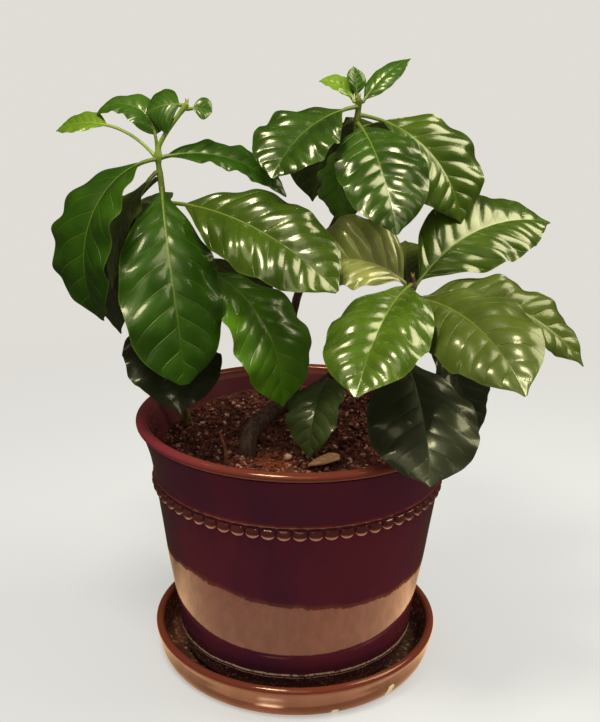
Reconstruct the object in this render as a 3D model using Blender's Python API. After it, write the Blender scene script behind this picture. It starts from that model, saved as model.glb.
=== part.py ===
"""Potted coffee plant: a beaded glazed pot on its saucer, soil, and three leafy shoots.

Metres, +Z up. The origin is on the surface that the saucer stands on, under the pot's
axis, and the plant's front faces -Y. Sizes are written in millimetres and scaled by MM.
"""

import math
from dataclasses import dataclass

import bpy
import bmesh
import numpy as np
from mathutils import Vector
from mathutils.bvhtree import BVHTree

MM = 0.001
GAP = 0.3
ROUND_SIDES = 40

# Saucer, millimetres
SAUCER_FOOT_RADIUS = 88.5
SAUCER_RIM_RADIUS = 93.6
SAUCER_RIM_HEIGHT = 21.5
SAUCER_RIM_WIDTH = 5.6
SAUCER_FLOOR = 4.0

# Pot, millimetres; heights are above the surface that the saucer stands on
POT_FOOT = SAUCER_FLOOR + GAP
POT_FOOT_RADIUS = 70.5
POT_FLOOR = 8.0
DRAIN_RADIUS = 7.0
RIDGE_HEIGHT = 127.6
RIDGE_RADIUS = 91.6
RIM_HEIGHT = 164.0
RIM_RADIUS = 102.5
RIM_DEPTH = 7.0
RIM_THICK = 4.8
BEADS = 63
BEAD_WIDTH = 8.2
BEAD_HEIGHT = 7.6
BEAD_PROUD = 2.6
BEAD_DROP = 4.7

# Soil, millimetres
SOIL_FRONT = 136.0
SOIL_SLOPE = 0.12
SOIL_MOUND = 3.0
SOIL_LUMP = 1.0
HOLE_SIDES = 12

# Small dry things in the soil, millimetres
TWIG_ROUTE = ((-44.5, -22, 122), (-44.5, -22, 142), (-46, -21.5, 149), (-48, -22, 157))
TWIG_RADIUS = 1.1
CHIP_START = (7.0, -37.0)
CHIP_END = (25.0, -20.0)
CHIP_WIDTH = 11.0
CHIP_THICK = 1.6

# Leaves, millimetres
BLADE_THICK = 0.8
RIB_SHARE = 1.6
PETIOLE_RADIUS = 1.2
MARGIN_WAVE = 2.4
WAVES_PER_SIDE = 4.0
SMALL_BLADE = 50.0
FOOT_CLEAR = 0.4
ROW_CROWDING = 0.92

# How fast a shoot thins above its foot
TAPER = 0.45


@dataclass(frozen=True)
class Shoot:
    """A stem's route and radii: points in millimetres, radii at its two ends."""

    route: tuple
    base_radius: float
    tip_radius: float


SHOOTS = {
    "left": Shoot(
        ((-74, 30, 112), (-74, 30, 140), (-74, 30, 147), (-79, 25, 172), (-81.5, 18, 211),
         (-82.5, 12, 239), (-82.5, 7, 265), (-83, 2, 300), (-84.7, 0, 323), (-81, 0, 334),
         (-67, 0, 353)),
        3.6, 1.3),
    "center": Shoot(
        ((4, 32, 112), (4, 32, 143), (4, 32, 150), (0, 30, 162), (-5, 28, 173), (-8, 28, 187),
         (-6.5, 29, 204), (0, 30, 236), (14, 30, 265), (26.5, 30, 291), (32.5, 30, 319),
         (34, 30, 343), (34.7, 30, 356)),
        7.0, 1.5),
    "right": Shoot(
        ((0, 28, 163), (7.5, 19, 171), (20, 10, 183), (33.5, 2, 199), (45, -6, 214),
         (57, -14, 232), (64.5, -19, 243), (66.3, -20, 249), (66.8, -20.2, 256)),
        4.2, 1.8),
}
ROOT_ARCH = Shoot(
    ((1, 28, 158), (-10, 12, 163), (-20, 1, 160), (-29, -9, 153), (-31.8, -14, 144),
     (-31.8, -14, 137), (-31.8, -14, 114)),
    5.0, 5.8)


@dataclass(frozen=True)
class Leaf:
    """One leaf, as it grows from its shoot.

    height is where it leaves the shoot. heading is the way it points, in degrees from +X,
    rise and droop are its slope at the stem and at the tip, swing turns it sideways towards
    the tip, roll banks it and fold lifts its two halves. Lengths are in millimetres.
    widest is where along the blade it is widest, and a full below 1 rounds its two ends.
    """

    name: str
    shoot: str
    height: float
    heading: float
    rise: float
    droop: float
    swing: float
    roll: float
    fold: float
    petiole: float
    length: float
    width: float
    widest: float = 0.5
    full: float = 1.0


# name, shoot, height, heading, rise, droop, swing, roll, fold, petiole, length, width, widest,
# full
LEAVES = (
    Leaf("leaf_left_01", "left", 323, 159, 46, -26, 5, 29, 6, 35, 36, 22),
    Leaf("leaf_left_02", "left", 325, 122, 93, -42, 60, 24, 4, 10, 49, 24, 0.42, 0.6),
    Leaf("leaf_left_03", "left", 352, 172, 10, -40, 0, 52, -20, 1, 22, 34, 0.5, 0.9),
    Leaf("leaf_left_04", "left", 350, 8, 12, -28, 4, -55, 6, 1, 13, 15, 0.6),
    Leaf("leaf_left_05", "left", 322, 5, 15, -48, -15, -24, 7, 3, 78, 27, 0.46, 0.75),
    Leaf("leaf_left_06", "left", 321, -136, -3, -128, 9, -5, 7, 9, 114, 58, 0.5, 0.8),
    Leaf("leaf_left_07", "left", 304, -81, -36, -80, 20, 7, -7, 4, 120, 62, 0.58, 0.6),
    Leaf("leaf_left_08", "left", 309, 178, -40, -111, 13, 41, -4, 17, 89, 48),
    Leaf("leaf_left_09", "left", 313, -150, -40, -93, -4, 0, 2, 5, 72, 38),
    Leaf("leaf_left_10", "left", 295, -34, 4, -42, 11, -37, 5, 15, 112, 57, 0.54, 0.75),
    Leaf("leaf_left_11", "left", 258, -20, 2, -93, -19, -9, 2, 25, 103, 61, 0.56, 0.9),
    Leaf("leaf_left_12", "left", 225, -86, -17, -51, 17, 8, 4, 10, 72, 60),
    Leaf("leaf_left_13", "left", 288, 115, 15, -60, 10, 0, 8, 14, 105, 56),
    Leaf("leaf_left_14", "left", 252, 60, 10, -65, -10, 0, 8, 14, 100, 54),
    Leaf("leaf_center_01", "center", 354, 164, 63, -9, -2, 22, 8, 1, 26, 19),
    Leaf("leaf_center_02", "center", 355, 112, 82, 62, 0, -8, 10, 1, 20, 14, 0.55, 1.4),
    Leaf("leaf_center_03", "center", 354, 22, 56, 22, 0, -30, -8, 1, 40, 17, 0.46),
    Leaf("leaf_center_04", "center", 351, -142, -6, -48, 20, 14, 6, 8, 76, 50, 0.58, 0.85),
    Leaf("leaf_center_05", "center", 341, -74, -16, -60, 0, -12, 3, 5, 88, 53, 0.5, 0.8),
    Leaf("leaf_center_06", "center", 346, -4, -8, -81, -22, -35, 2, 14, 83, 62),
    Leaf("leaf_center_07", "center", 333, -133, -49, -116, 7, -15, -1, 2, 55, 44),
    Leaf("leaf_center_08", "center", 343, 112, -5, -78, 0, 0, 8, 12, 84, 48),
    Leaf("leaf_center_09", "center", 336, 68, 15, -60, 0, 0, 8, 12, 98, 56),
    Leaf("leaf_right_01", "right", 251, 162, 44, -38, 4, 43, 20, 3, 63, 56),
    Leaf("leaf_right_02", "right", 250, 45, 40, -13, -17, -34, -1, 5, 120, 58),
    Leaf("leaf_right_03", "right", 244, -55, 9, -38, -15, -25, 6, 8, 106, 58, 0.5, 0.9),
    Leaf("leaf_right_04", "right", 252, -113, 0, -44, 3, 1, 6, 4, 103, 58, 0.55, 0.75),
    Leaf("leaf_right_05", "right", 242, 1, 15, -54, -15, -32, 2, 7, 110, 42),
    Leaf("leaf_right_06", "right", 224, -69, -19, -43, -22, -2, -6, 28, 91, 63, 0.56, 0.9),
    Leaf("leaf_right_07", "right", 183, -102, 19, -90, -6, -21, 6, 6, 64, 39),
    Leaf("leaf_right_08", "right", 248, 89, 5, 9, -5, 1, 4, 7, 90, 42),
    Leaf("leaf_right_09", "right", 236, -15, -36, -77, -10, -22, 4, 20, 71, 42),
    Leaf("leaf_right_10", "right", 232, 72, 5, -60, -10, 0, 8, 14, 100, 56),
)

# Share of the blade's length, share of its half width
BLADE_OUTLINE = (
    (0.0, 0.03), (0.06, 0.18), (0.15, 0.48), (0.26, 0.79), (0.38, 0.96), (0.50, 1.0),
    (0.62, 0.96), (0.74, 0.82), (0.84, 0.59), (0.92, 0.29), (0.965, 0.10), (1.0, 0.02),
)


def clear_scene():
    """Remove the objects and meshes that a new file starts with."""
    for obj in list(bpy.data.objects):
        bpy.data.objects.remove(obj)
    for mesh in list(bpy.data.meshes):
        bpy.data.meshes.remove(mesh)


def finish_material(name, color, roughness, metallic=0.0):
    """Return a plain Principled material."""
    material = bpy.data.materials.new(name)
    material.use_nodes = True
    shader = material.node_tree.nodes["Principled BSDF"]
    shader.inputs["Base Color"].default_value = (*color, 1.0)
    shader.inputs["Roughness"].default_value = roughness
    shader.inputs["Metallic"].default_value = metallic
    return material


def mesh_object(name, points, faces, material=None):
    """Make an object from points in millimetres and faces, its normals turned outward."""
    mesh = bpy.data.meshes.new(name)
    mesh.from_pydata([Vector(p) * MM for p in points], [], faces)
    work = bmesh.new()
    work.from_mesh(mesh)
    bmesh.ops.recalc_face_normals(work, faces=work.faces)
    work.to_mesh(mesh)
    work.free()
    obj = bpy.data.objects.new(name, mesh)
    bpy.context.scene.collection.objects.link(obj)
    if material is not None:
        mesh.materials.append(material)
    mesh.shade_smooth()
    mesh.set_sharp_from_angle(angle=math.radians(35))
    return obj


def combine(target, tools, operation):
    """Apply one Boolean of several closed tool objects to target, and remove the tools."""
    group = bpy.data.collections.new("tools")
    bpy.context.scene.collection.children.link(group)
    for tool in tools:
        bpy.context.scene.collection.objects.unlink(tool)
        group.objects.link(tool)
    boolean = target.modifiers.new("combine", "BOOLEAN")
    boolean.operation = operation
    boolean.solver = "EXACT"
    boolean.operand_type = "COLLECTION"
    boolean.collection = group
    evaluated = target.evaluated_get(bpy.context.evaluated_depsgraph_get())
    mesh = bpy.data.meshes.new_from_object(evaluated)
    target.modifiers.remove(boolean)
    old = target.data
    target.data = mesh
    bpy.data.meshes.remove(old)
    mesh.name = target.name
    for tool in tools:
        bpy.data.objects.remove(tool)
    bpy.data.collections.remove(group)
    return target


def turned(name, profile, sides, material=None, closed=False):
    """Turn a profile of (radius, height) round the Z axis.

    An open profile starts and ends on the axis, and a closed one is a ring's section.
    """
    points = []
    rings = []
    for radius, height in profile:
        if radius < 1e-6:
            rings.append([len(points)])
            points.append((0.0, 0.0, height))
            continue
        rings.append(list(range(len(points), len(points) + sides)))
        for side in range(sides):
            angle = 2 * math.pi * side / sides
            points.append((radius * math.cos(angle), radius * math.sin(angle), height))
    faces = []
    pairs = list(zip(rings, rings[1:]))
    if closed:
        pairs.append((rings[-1], rings[0]))
    for low, high in pairs:
        for side in range(sides):
            after = (side + 1) % sides
            if len(low) == 1:
                faces.append((low[0], high[side], high[after]))
            elif len(high) == 1:
                faces.append((low[side], high[0], low[after]))
            else:
                faces.append((low[side], high[side], high[after], low[after]))
    return mesh_object(name, points, faces, material)


def arc(center_r, center_z, radius_r, radius_z, start, end, steps):
    """Return points along an elliptic arc of a profile, angles in degrees from +R."""
    points = []
    for step in range(steps + 1):
        angle = math.radians(start + (end - start) * step / steps)
        points.append((center_r + radius_r * math.cos(angle), center_z + radius_z * math.sin(angle)))
    return points


def smooth_route(route, per_span):
    """Return points of a Catmull-Rom curve through a route, per_span to each span."""
    knots = [Vector(p) for p in route]
    knots = [2 * knots[0] - knots[1], *knots, 2 * knots[-1] - knots[-2]]
    points = []
    for before, start, end, after in zip(knots, knots[1:], knots[2:], knots[3:]):
        for step in range(per_span):
            t = step / per_span
            points.append(0.5 * (2 * start + (end - before) * t
                                 + (2 * before - 5 * start + 4 * end - after) * t * t
                                 + (3 * start - before - 3 * end + after) * t ** 3))
    points.append(knots[-2])
    return points


def tube(name, points, radii, sides, material=None):
    """Sweep a round section along points, with flat ends."""
    tangents = []
    for index in range(len(points)):
        before = points[max(index - 1, 0)]
        after = points[min(index + 1, len(points) - 1)]
        tangents.append((after - before).normalized())
    side_axis = Vector((1, 0, 0)) - tangents[0] * tangents[0].x
    verts = []
    for point, tangent, radius in zip(points, tangents, radii):
        side_axis = (side_axis - tangent * side_axis.dot(tangent)).normalized()
        up_axis = tangent.cross(side_axis)
        for side in range(sides):
            angle = 2 * math.pi * side / sides
            verts.append(point + radius * (math.cos(angle) * side_axis + math.sin(angle) * up_axis))
    faces = [tuple(range(sides))]
    for ring in range(len(points) - 1):
        for side in range(sides):
            after = (side + 1) % sides
            low = ring * sides
            high = low + sides
            faces.append((low + side, low + after, high + after, high + side))
    last = (len(points) - 1) * sides
    faces.append(tuple(range(last, last + sides)))
    return mesh_object(name, verts, faces, material)


def shoot_center(shoot, height):
    """Return the point on a shoot's axis at a height."""
    route = np.array(SHOOTS[shoot].route, dtype=float)
    return np.array([np.interp(height, route[:, 2], route[:, axis]) for axis in range(3)])


def shoot_radius(shoot, share):
    """Return a shoot's radius at a share of its length."""
    return shoot.base_radius + (shoot.tip_radius - shoot.base_radius) * share ** TAPER


def shoot_radius_at(name, height):
    """Return a shoot's radius at a height, found along its route."""
    shoot = SHOOTS[name]
    points = smooth_route(shoot.route, 2)
    index = min(range(len(points)), key=lambda i: abs(points[i].z - height))
    return shoot_radius(shoot, index / (len(points) - 1))


def shoot_tube(name, shoot, sides, material=None):
    """Make a shoot's stem, tapering from its foot to its tip."""
    points = smooth_route(shoot.route, 2)
    radii = [shoot_radius(shoot, i / (len(points) - 1)) for i in range(len(points))]
    return tube(name, points, radii, sides, material)


def leaf_axis(leaf, steps=60):
    """Return a leaf's midrib from the stem to the tip: points, tangents and headings."""
    share = np.linspace(0.0, 1.0, steps + 1)
    heading = np.radians(leaf.heading + leaf.swing * share)
    slope = np.radians(leaf.rise + (leaf.droop - leaf.rise) * share)
    tangent = np.stack([np.cos(slope) * np.cos(heading),
                        np.cos(slope) * np.sin(heading),
                        np.sin(slope)], axis=1)
    step = (leaf.petiole + leaf.length) / steps
    middle = (tangent[1:] + tangent[:-1]) / 2 * step
    outward = np.array([math.cos(heading[0]), math.sin(heading[0]), 0.0])
    foot = shoot_center(leaf.shoot, leaf.height)
    upward = shoot_center(leaf.shoot, leaf.height + 3) - shoot_center(leaf.shoot, leaf.height - 3)
    upward /= np.linalg.norm(upward)
    away = outward - upward * (outward @ upward)
    away /= np.linalg.norm(away)
    tilt = math.sqrt(max(0.0, 1 - (tangent[0] @ away) ** 2))
    clear = shoot_radius_at(leaf.shoot, leaf.height) + FOOT_CLEAR + PETIOLE_RADIUS * tilt
    foot += outward * (clear / (outward @ away))
    points = foot + np.concatenate([np.zeros((1, 3)), np.cumsum(middle, axis=0)])
    return share, points, tangent, heading


def half_width(leaf, along):
    """Return a blade's half width at a share of its length."""
    bent = along ** (math.log(0.5) / math.log(leaf.widest))
    shares, widths = zip(*BLADE_OUTLINE)
    return leaf.width / 2 * float(np.interp(bent, shares, widths)) ** leaf.full


def leaf_section(leaf, axis, along, across):
    """Return the blade's mid-surface point and its normal, across from -1 to 1."""
    share, points, tangents, headings = axis
    total = leaf.petiole + leaf.length
    where = (leaf.petiole + along * leaf.length) / total
    point = np.array([np.interp(where, share, points[:, i]) for i in range(3)])
    tangent = np.array([np.interp(where, share, tangents[:, i]) for i in range(3)])
    tangent /= np.linalg.norm(tangent)
    heading = float(np.interp(where, share, headings))
    level = np.array([math.sin(heading), -math.cos(heading), 0.0])
    upward = np.cross(level, tangent)
    roll = math.radians(leaf.roll)
    sideways = math.cos(roll) * level + math.sin(roll) * upward
    normal = math.cos(roll) * upward - math.sin(roll) * level
    reach = half_width(leaf, along)
    fold = math.radians(leaf.fold)
    phase = math.radians(leaf.heading + 2 * leaf.height) + (0.0 if across > 0 else 1.9)
    ripple = MARGIN_WAVE * min(1.0, leaf.width / SMALL_BLADE) * math.sin(math.pi * along)
    ripple *= math.sin(2 * math.pi * WAVES_PER_SIDE * along + phase) * across * across
    surface = point + sideways * (across * reach * math.cos(fold))
    surface = surface + normal * (abs(across) * reach * math.sin(fold) + ripple)
    return surface, normal


def leaf_object(leaf, material):
    """Loft a leaf: a thin petiole that opens into a waved blade, closed at both ends."""
    small = leaf.length < SMALL_BLADE
    columns = (-1.0, 0.0, 1.0) if small else (-1.0, -0.5, 0.0, 0.5, 1.0)
    blade_rows = 7 if small else 11
    petiole_rows = 2
    axis = leaf_axis(leaf)
    share, points, tangents, headings = axis
    total = leaf.petiole + leaf.length
    loops = []
    for row in range(petiole_rows):
        where = leaf.petiole / total * row / petiole_rows
        center = np.array([np.interp(where, share, points[:, i]) for i in range(3)])
        tangent = np.array([np.interp(where, share, tangents[:, i]) for i in range(3)])
        heading = float(np.interp(where, share, headings))
        level = np.array([math.sin(heading), -math.cos(heading), 0.0])
        upward = np.cross(level, tangent / np.linalg.norm(tangent))
        radius = PETIOLE_RADIUS if not small else 0.8 * PETIOLE_RADIUS
        count = 2 * len(columns)
        loop = []
        for side in range(count):
            angle = math.pi - (side + 0.5) * 2 * math.pi / count
            loop.append(center + radius * (math.cos(angle) * level + math.sin(angle) * upward))
        loops.append(loop)
    for row in range(blade_rows + 1):
        along = (row / blade_rows) ** ROW_CROWDING
        top = []
        bottom = []
        for across in columns:
            surface, normal = leaf_section(leaf, axis, along, across)
            rib = RIB_SHARE if across == 0.0 and along < 0.9 else 1.0
            top.append(surface + normal * BLADE_THICK / 2)
            bottom.append(surface - normal * BLADE_THICK / 2 * rib)
        loops.append(top + bottom[::-1])
    return loft(leaf.name, loops, len(columns), material)


def loft(name, loops, columns, material):
    """Close a run of loops into one body, both faces split along the same diagonals."""
    count = len(loops[0])
    points = [point for loop in loops for point in loop]
    faces = []
    for row in range(len(loops) - 1):
        low = row * count
        high = low + count
        for side in range(count):
            after = (side + 1) % count
            first = (low + side, low + after, high + after)
            second = (low + side, high + after, high + side)
            mirrored = ((low + side, low + after, high + side),
                        (low + after, high + after, high + side))
            faces.extend((first, second) if side < columns - 1 else mirrored)
    last = (len(loops) - 1) * count
    for side in range(columns - 1):
        under = count - 1 - side
        faces.append((side, side + 1, under - 1, under))
        faces.append((last + side, last + side + 1, last + under - 1, last + under))
    return mesh_object(name, points, faces, material)


def saucer_profile():
    """Return the saucer's profile, from the middle of its underside to its floor."""
    rim = SAUCER_RIM_WIDTH / 2
    rim_center = SAUCER_RIM_RADIUS - rim
    rim_low = SAUCER_RIM_HEIGHT - rim
    return [
        (0.0, 0.0), (SAUCER_FOOT_RADIUS - 2.5, 0.0), (SAUCER_FOOT_RADIUS, 1.2),
        (SAUCER_FOOT_RADIUS + 1.8, 5.0), (SAUCER_FOOT_RADIUS + 3.2, 12.0),
        *arc(rim_center, rim_low, rim, rim, -25, 180, 6),
        (rim_center - rim - 2.2, 9.0), (rim_center - rim - 4.8, SAUCER_FLOOR + 1.2),
        (rim_center - rim - 8.5, SAUCER_FLOOR), (0.0, SAUCER_FLOOR),
    ]


def pot_outside():
    """Return the pot's outer wall, from its foot to the groove under its rim."""
    return [
        (POT_FOOT_RADIUS, POT_FOOT), (73.4, 6.5), (76.8, 17.0), (78.7, 34.0), (81.3, 52.0),
        (84.5, 72.0), (87.4, 94.0), (90.2, 114.0), (RIDGE_RADIUS, RIDGE_HEIGHT - 1.2),
        (RIDGE_RADIUS + 1.2, RIDGE_HEIGHT), (RIDGE_RADIUS + 0.4, RIDGE_HEIGHT + 1.4),
        (94.6, 142.0), (98.9, RIM_HEIGHT - RIM_THICK - 0.8),
    ]


def pot_inside():
    """Return the pot's inner wall, from its rim down to its floor."""
    return [
        (RIM_RADIUS - RIM_DEPTH - 1.6, RIM_HEIGHT - 5.0), (93.0, 156.0), (86.2, 127.0), (80.6, 88.0),
        (75.4, 52.0), (70.4, 30.0), (66.4, POT_FOOT + POT_FLOOR + 4.0),
        (62.0, POT_FOOT + POT_FLOOR),
    ]


def inside_radius(height):
    """Return the pot's inner radius at a height."""
    radii, heights = zip(*reversed(pot_inside()))
    return float(np.interp(height, heights, radii))


def pot(material):
    """Turn the pot with its rolled rim and drain hole, and join its band of beads."""
    rim = arc(RIM_RADIUS - RIM_DEPTH / 2, RIM_HEIGHT - RIM_THICK / 2, RIM_DEPTH / 2, RIM_THICK / 2,
              -50, 165, 6)
    floor = POT_FOOT + POT_FLOOR
    profile = [(DRAIN_RADIUS, floor), (DRAIN_RADIUS, POT_FOOT)]
    profile += pot_outside() + rim + pot_inside()
    body = turned("pot", profile, ROUND_SIDES, material, closed=True)
    return combine(body, [bead_ring()], "UNION")


def bead_ring():
    """Make the beads under the ridge, each a half egg sunk in the wall, as one mesh."""
    sides = 6
    points = []
    faces = []
    for bead in range(BEADS):
        angle = 2 * math.pi * (bead + 0.5) / BEADS
        out = Vector((math.cos(angle), math.sin(angle), 0.0))
        along = Vector((-math.sin(angle), math.cos(angle), 0.0))
        center = out * (RIDGE_RADIUS - 1.0) + Vector((0, 0, RIDGE_HEIGHT - BEAD_DROP))
        base = len(points)
        for depth, size in ((-1.5, 1.0), (BEAD_PROUD + 0.8, 0.6)):
            for side in range(sides):
                turn = 2 * math.pi * (side + 0.5) / sides
                points.append(center + out * depth
                              + along * (size * BEAD_WIDTH / 2 * math.cos(turn))
                              + Vector((0, 0, size * BEAD_HEIGHT / 2 * math.sin(turn))))
        faces.append(tuple(range(base, base + sides)))
        faces.append(tuple(range(base + sides, base + 2 * sides)))
        for side in range(sides):
            after = (side + 1) % sides
            faces.append((base + side, base + after, base + sides + after, base + sides + side))
    return mesh_object("beads", points, faces)


def soil_height(x, y):
    """Return the height of the soil's surface, which climbs to the back and is lumpy."""
    share = min(1.0, math.hypot(x, y) / inside_radius(SOIL_FRONT))
    climb = SOIL_SLOPE * max(0.0, y + 25.0)
    mound = SOIL_MOUND * (1 - share ** 2)
    lump = math.sin(0.21 * x + 0.7) * math.sin(0.19 * y + 1.1) + 0.6 * math.sin(0.43 * x - 0.31 * y)
    return SOIL_FRONT + climb + mound + SOIL_LUMP * lump * (1 - share ** 6)


def soil(material):
    """Fill the pot with soil, and make the plain holes that the stems stand in."""
    angles = [2 * math.pi * side / ROUND_SIDES for side in range(ROUND_SIDES)]
    floor_radius, floor_height = pot_inside()[-1]
    points = [((floor_radius - GAP) * math.cos(a), (floor_radius - GAP) * math.sin(a), floor_height + GAP)
              for a in angles]
    for radius, height in reversed(pot_inside()[:-1]):
        if height < SOIL_FRONT - 2:
            points += [((radius - GAP) * math.cos(a), (radius - GAP) * math.sin(a), height) for a in angles]
    for share in (1.0, 0.9, 0.72, 0.52, 0.3):
        for angle in angles:
            radius = inside_radius(SOIL_FRONT)
            height = soil_height(radius * math.cos(angle), radius * math.sin(angle))
            radius = share * (inside_radius(height) - GAP)
            x = radius * math.cos(angle)
            y = radius * math.sin(angle)
            points.append((x, y, soil_height(x, y) if share < 1.0 else height))
    faces = [tuple(range(ROUND_SIDES))]
    for low in range(0, len(points) - ROUND_SIDES, ROUND_SIDES):
        high = low + ROUND_SIDES
        for side in range(ROUND_SIDES):
            after = (side + 1) % ROUND_SIDES
            faces.append((low + side, low + after, high + after))
            faces.append((low + side, high + after, high + side))
    last = len(points) - ROUND_SIDES
    points.append((0.0, 0.0, soil_height(0.0, 0.0)))
    for side in range(ROUND_SIDES):
        faces.append((last + side, last + (side + 1) % ROUND_SIDES, len(points) - 1))
    body = mesh_object("soil", points, faces, material)
    holes = []
    feet = ((SHOOTS["left"].route[0], SHOOTS["left"].base_radius),
            (SHOOTS["center"].route[0], SHOOTS["center"].base_radius),
            (ROOT_ARCH.route[-1], ROOT_ARCH.tip_radius),
            (TWIG_ROUTE[0], TWIG_RADIUS))
    for foot, radius in feet:
        start = Vector(foot) - Vector((0, 0, GAP))
        end = Vector((foot[0], foot[1], SOIL_FRONT + 40))
        clear = (radius + GAP) / math.cos(math.pi / HOLE_SIDES) + 0.1
        holes.append(tube("hole", [start, end], [clear, clear], HOLE_SIDES))
    return combine(body, holes, "DIFFERENCE")


def trunk(material):
    """Join the trunk, its two upper stems and the arched root into one body."""
    body = shoot_tube("trunk", SHOOTS["center"], 9, material)
    return combine(body, [shoot_tube("right_stem", SHOOTS["right"], 9),
                          shoot_tube("root", ROOT_ARCH, 9)], "UNION")


def bark_chip(surface, material):
    """Lay a pointed chip of bark on the soil, just clear of the highest grain under it."""
    start = Vector((*CHIP_START, 0))
    end = Vector((*CHIP_END, 0))
    along = (end - start).normalized()
    across = Vector((-along.y, along.x, 0))
    length = (end - start).length
    outline = ((0.0, 0.0), (0.35, -0.42), (0.85, -0.55), (1.0, -0.2), (0.93, 0.5), (0.4, 0.4))
    heights = []
    for step in range(11):
        for side in range(-3, 4):
            spot = start + along * (length * step / 10) + across * (CHIP_WIDTH * side / 6)
            hit = surface.ray_cast(Vector((spot.x, spot.y, 300)) * MM, Vector((0, 0, -1)))
            heights.append(hit[0].z / MM)
    rest = max(heights) + GAP
    points = []
    for lift in (0.0, CHIP_THICK):
        for share, side in outline:
            spot = start + along * (length * share) + across * (CHIP_WIDTH * side)
            points.append((spot.x, spot.y, rest + lift))
    count = len(outline)
    faces = [tuple(range(count)), tuple(range(count, 2 * count))]
    for side in range(count):
        after = (side + 1) % count
        faces.append((side, after, count + after, count + side))
    return mesh_object("bark_chip", points, faces, material)


def main():
    """Build every piece of the potted plant."""
    clear_scene()
    glaze = finish_material("burgundy_glaze", (0.055, 0.008, 0.016), 0.12)
    earth = finish_material("potting_soil", (0.045, 0.020, 0.013), 0.95)
    bark = finish_material("grey_bark", (0.13, 0.08, 0.07), 0.75)
    green_stem = finish_material("green_stem", (0.10, 0.17, 0.03), 0.45)
    dry = finish_material("dry_wood", (0.45, 0.28, 0.15), 0.8)
    leaf_green = finish_material("leaf_green", (0.025, 0.13, 0.012), 0.25)
    young_green = finish_material("young_leaf_green", (0.10, 0.32, 0.03), 0.28)

    turned("saucer", saucer_profile(), ROUND_SIDES, glaze)
    pot(glaze)
    ground = soil(earth)
    trunk(bark)
    shoot_tube("stem_left", SHOOTS["left"], 8, green_stem)
    twig_points = smooth_route(TWIG_ROUTE, 2)
    tube("dry_twig", twig_points, [TWIG_RADIUS] * len(twig_points), 6, dry)
    surface = BVHTree.FromObject(ground, bpy.context.evaluated_depsgraph_get())
    bark_chip(surface, dry)
    for leaf in LEAVES:
        leaf_object(leaf, young_green if leaf.length < SMALL_BLADE else leaf_green)


if __name__ == "__main__":
    main()
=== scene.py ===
"""Looks of the potted coffee plant: glazed pot and saucer, potting mix, stems and leaves.

Sizes are in millimetres and become metres when a mesh is made. X is to the right, Y away
from the viewer and Z up, with the origin under the pot's axis on the surface it stands on.
"""

from __future__ import annotations

import logging
import math
from collections.abc import Mapping, Sequence
from dataclasses import dataclass, field
from enum import Enum

import bpy
import numpy as np
from mathutils import Matrix, Vector, noise

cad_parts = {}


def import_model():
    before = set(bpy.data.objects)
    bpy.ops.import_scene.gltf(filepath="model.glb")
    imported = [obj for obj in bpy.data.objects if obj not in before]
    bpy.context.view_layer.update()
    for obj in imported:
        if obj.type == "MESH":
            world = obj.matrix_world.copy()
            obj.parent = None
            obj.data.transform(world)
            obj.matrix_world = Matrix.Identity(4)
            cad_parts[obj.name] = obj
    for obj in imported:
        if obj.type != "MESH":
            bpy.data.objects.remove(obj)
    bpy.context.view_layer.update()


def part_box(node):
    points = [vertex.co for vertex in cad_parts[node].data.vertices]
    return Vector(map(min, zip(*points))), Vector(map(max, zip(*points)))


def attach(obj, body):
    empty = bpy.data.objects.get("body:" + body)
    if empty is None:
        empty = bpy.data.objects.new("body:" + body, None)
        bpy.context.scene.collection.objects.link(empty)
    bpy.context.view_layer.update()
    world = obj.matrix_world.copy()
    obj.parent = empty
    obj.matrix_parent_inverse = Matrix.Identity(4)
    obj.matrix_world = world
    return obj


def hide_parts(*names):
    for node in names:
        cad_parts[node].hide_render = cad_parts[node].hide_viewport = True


LOG = logging.getLogger("coffee_plant")
MM = 0.001
BODY = "root"

Color = tuple[float, float, float]
Place = tuple[float, float, float]


def tone(red: int, green: int, blue: int) -> Color:
    """Return a screen colour, 0 to 255, as the linear colour that shaders use."""
    return tuple(((c / 255 + 0.055) / 1.055) ** 2.4 if c > 10 else c / 3295 for c in (red, green, blue))


def smooth_step(low: float, high: float, value: np.ndarray) -> np.ndarray:
    """Return 0 below low and 1 above high, with an even rise between them."""
    share = np.clip((value - low) / (high - low), 0.0, 1.0)
    return share * share * (3 - 2 * share)


def eased_through(stops: Sequence[tuple[float, float]], at: np.ndarray) -> np.ndarray:
    """Return the values at some places of a smooth curve through stops.

    Args:
        stops: Places and values, the places rising.
        at: The places to read.

    Returns:
        The curve's values, with no overshoot between stops.
    """
    x, y = (np.array(part, dtype=float) for part in zip(*stops))
    step = np.diff(x)
    rise = np.diff(y) / step
    slope = np.zeros_like(y)
    same = rise[:-1] * rise[1:] > 0
    slope[1:-1][same] = 2 * rise[:-1][same] * rise[1:][same] / (rise[:-1][same] + rise[1:][same])
    slope[0], slope[-1] = rise[0], rise[-1]
    index = np.clip(np.searchsorted(x, at, side="right") - 1, 0, len(step) - 1)
    t = (np.clip(at, x[0], x[-1]) - x[index]) / step[index]
    return (y[index] * (1 + 2 * t) * (1 - t) ** 2 + slope[index] * step[index] * t * (1 - t) ** 2
            + y[index + 1] * t * t * (3 - 2 * t) + slope[index + 1] * step[index] * t * t * (t - 1))


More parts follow.
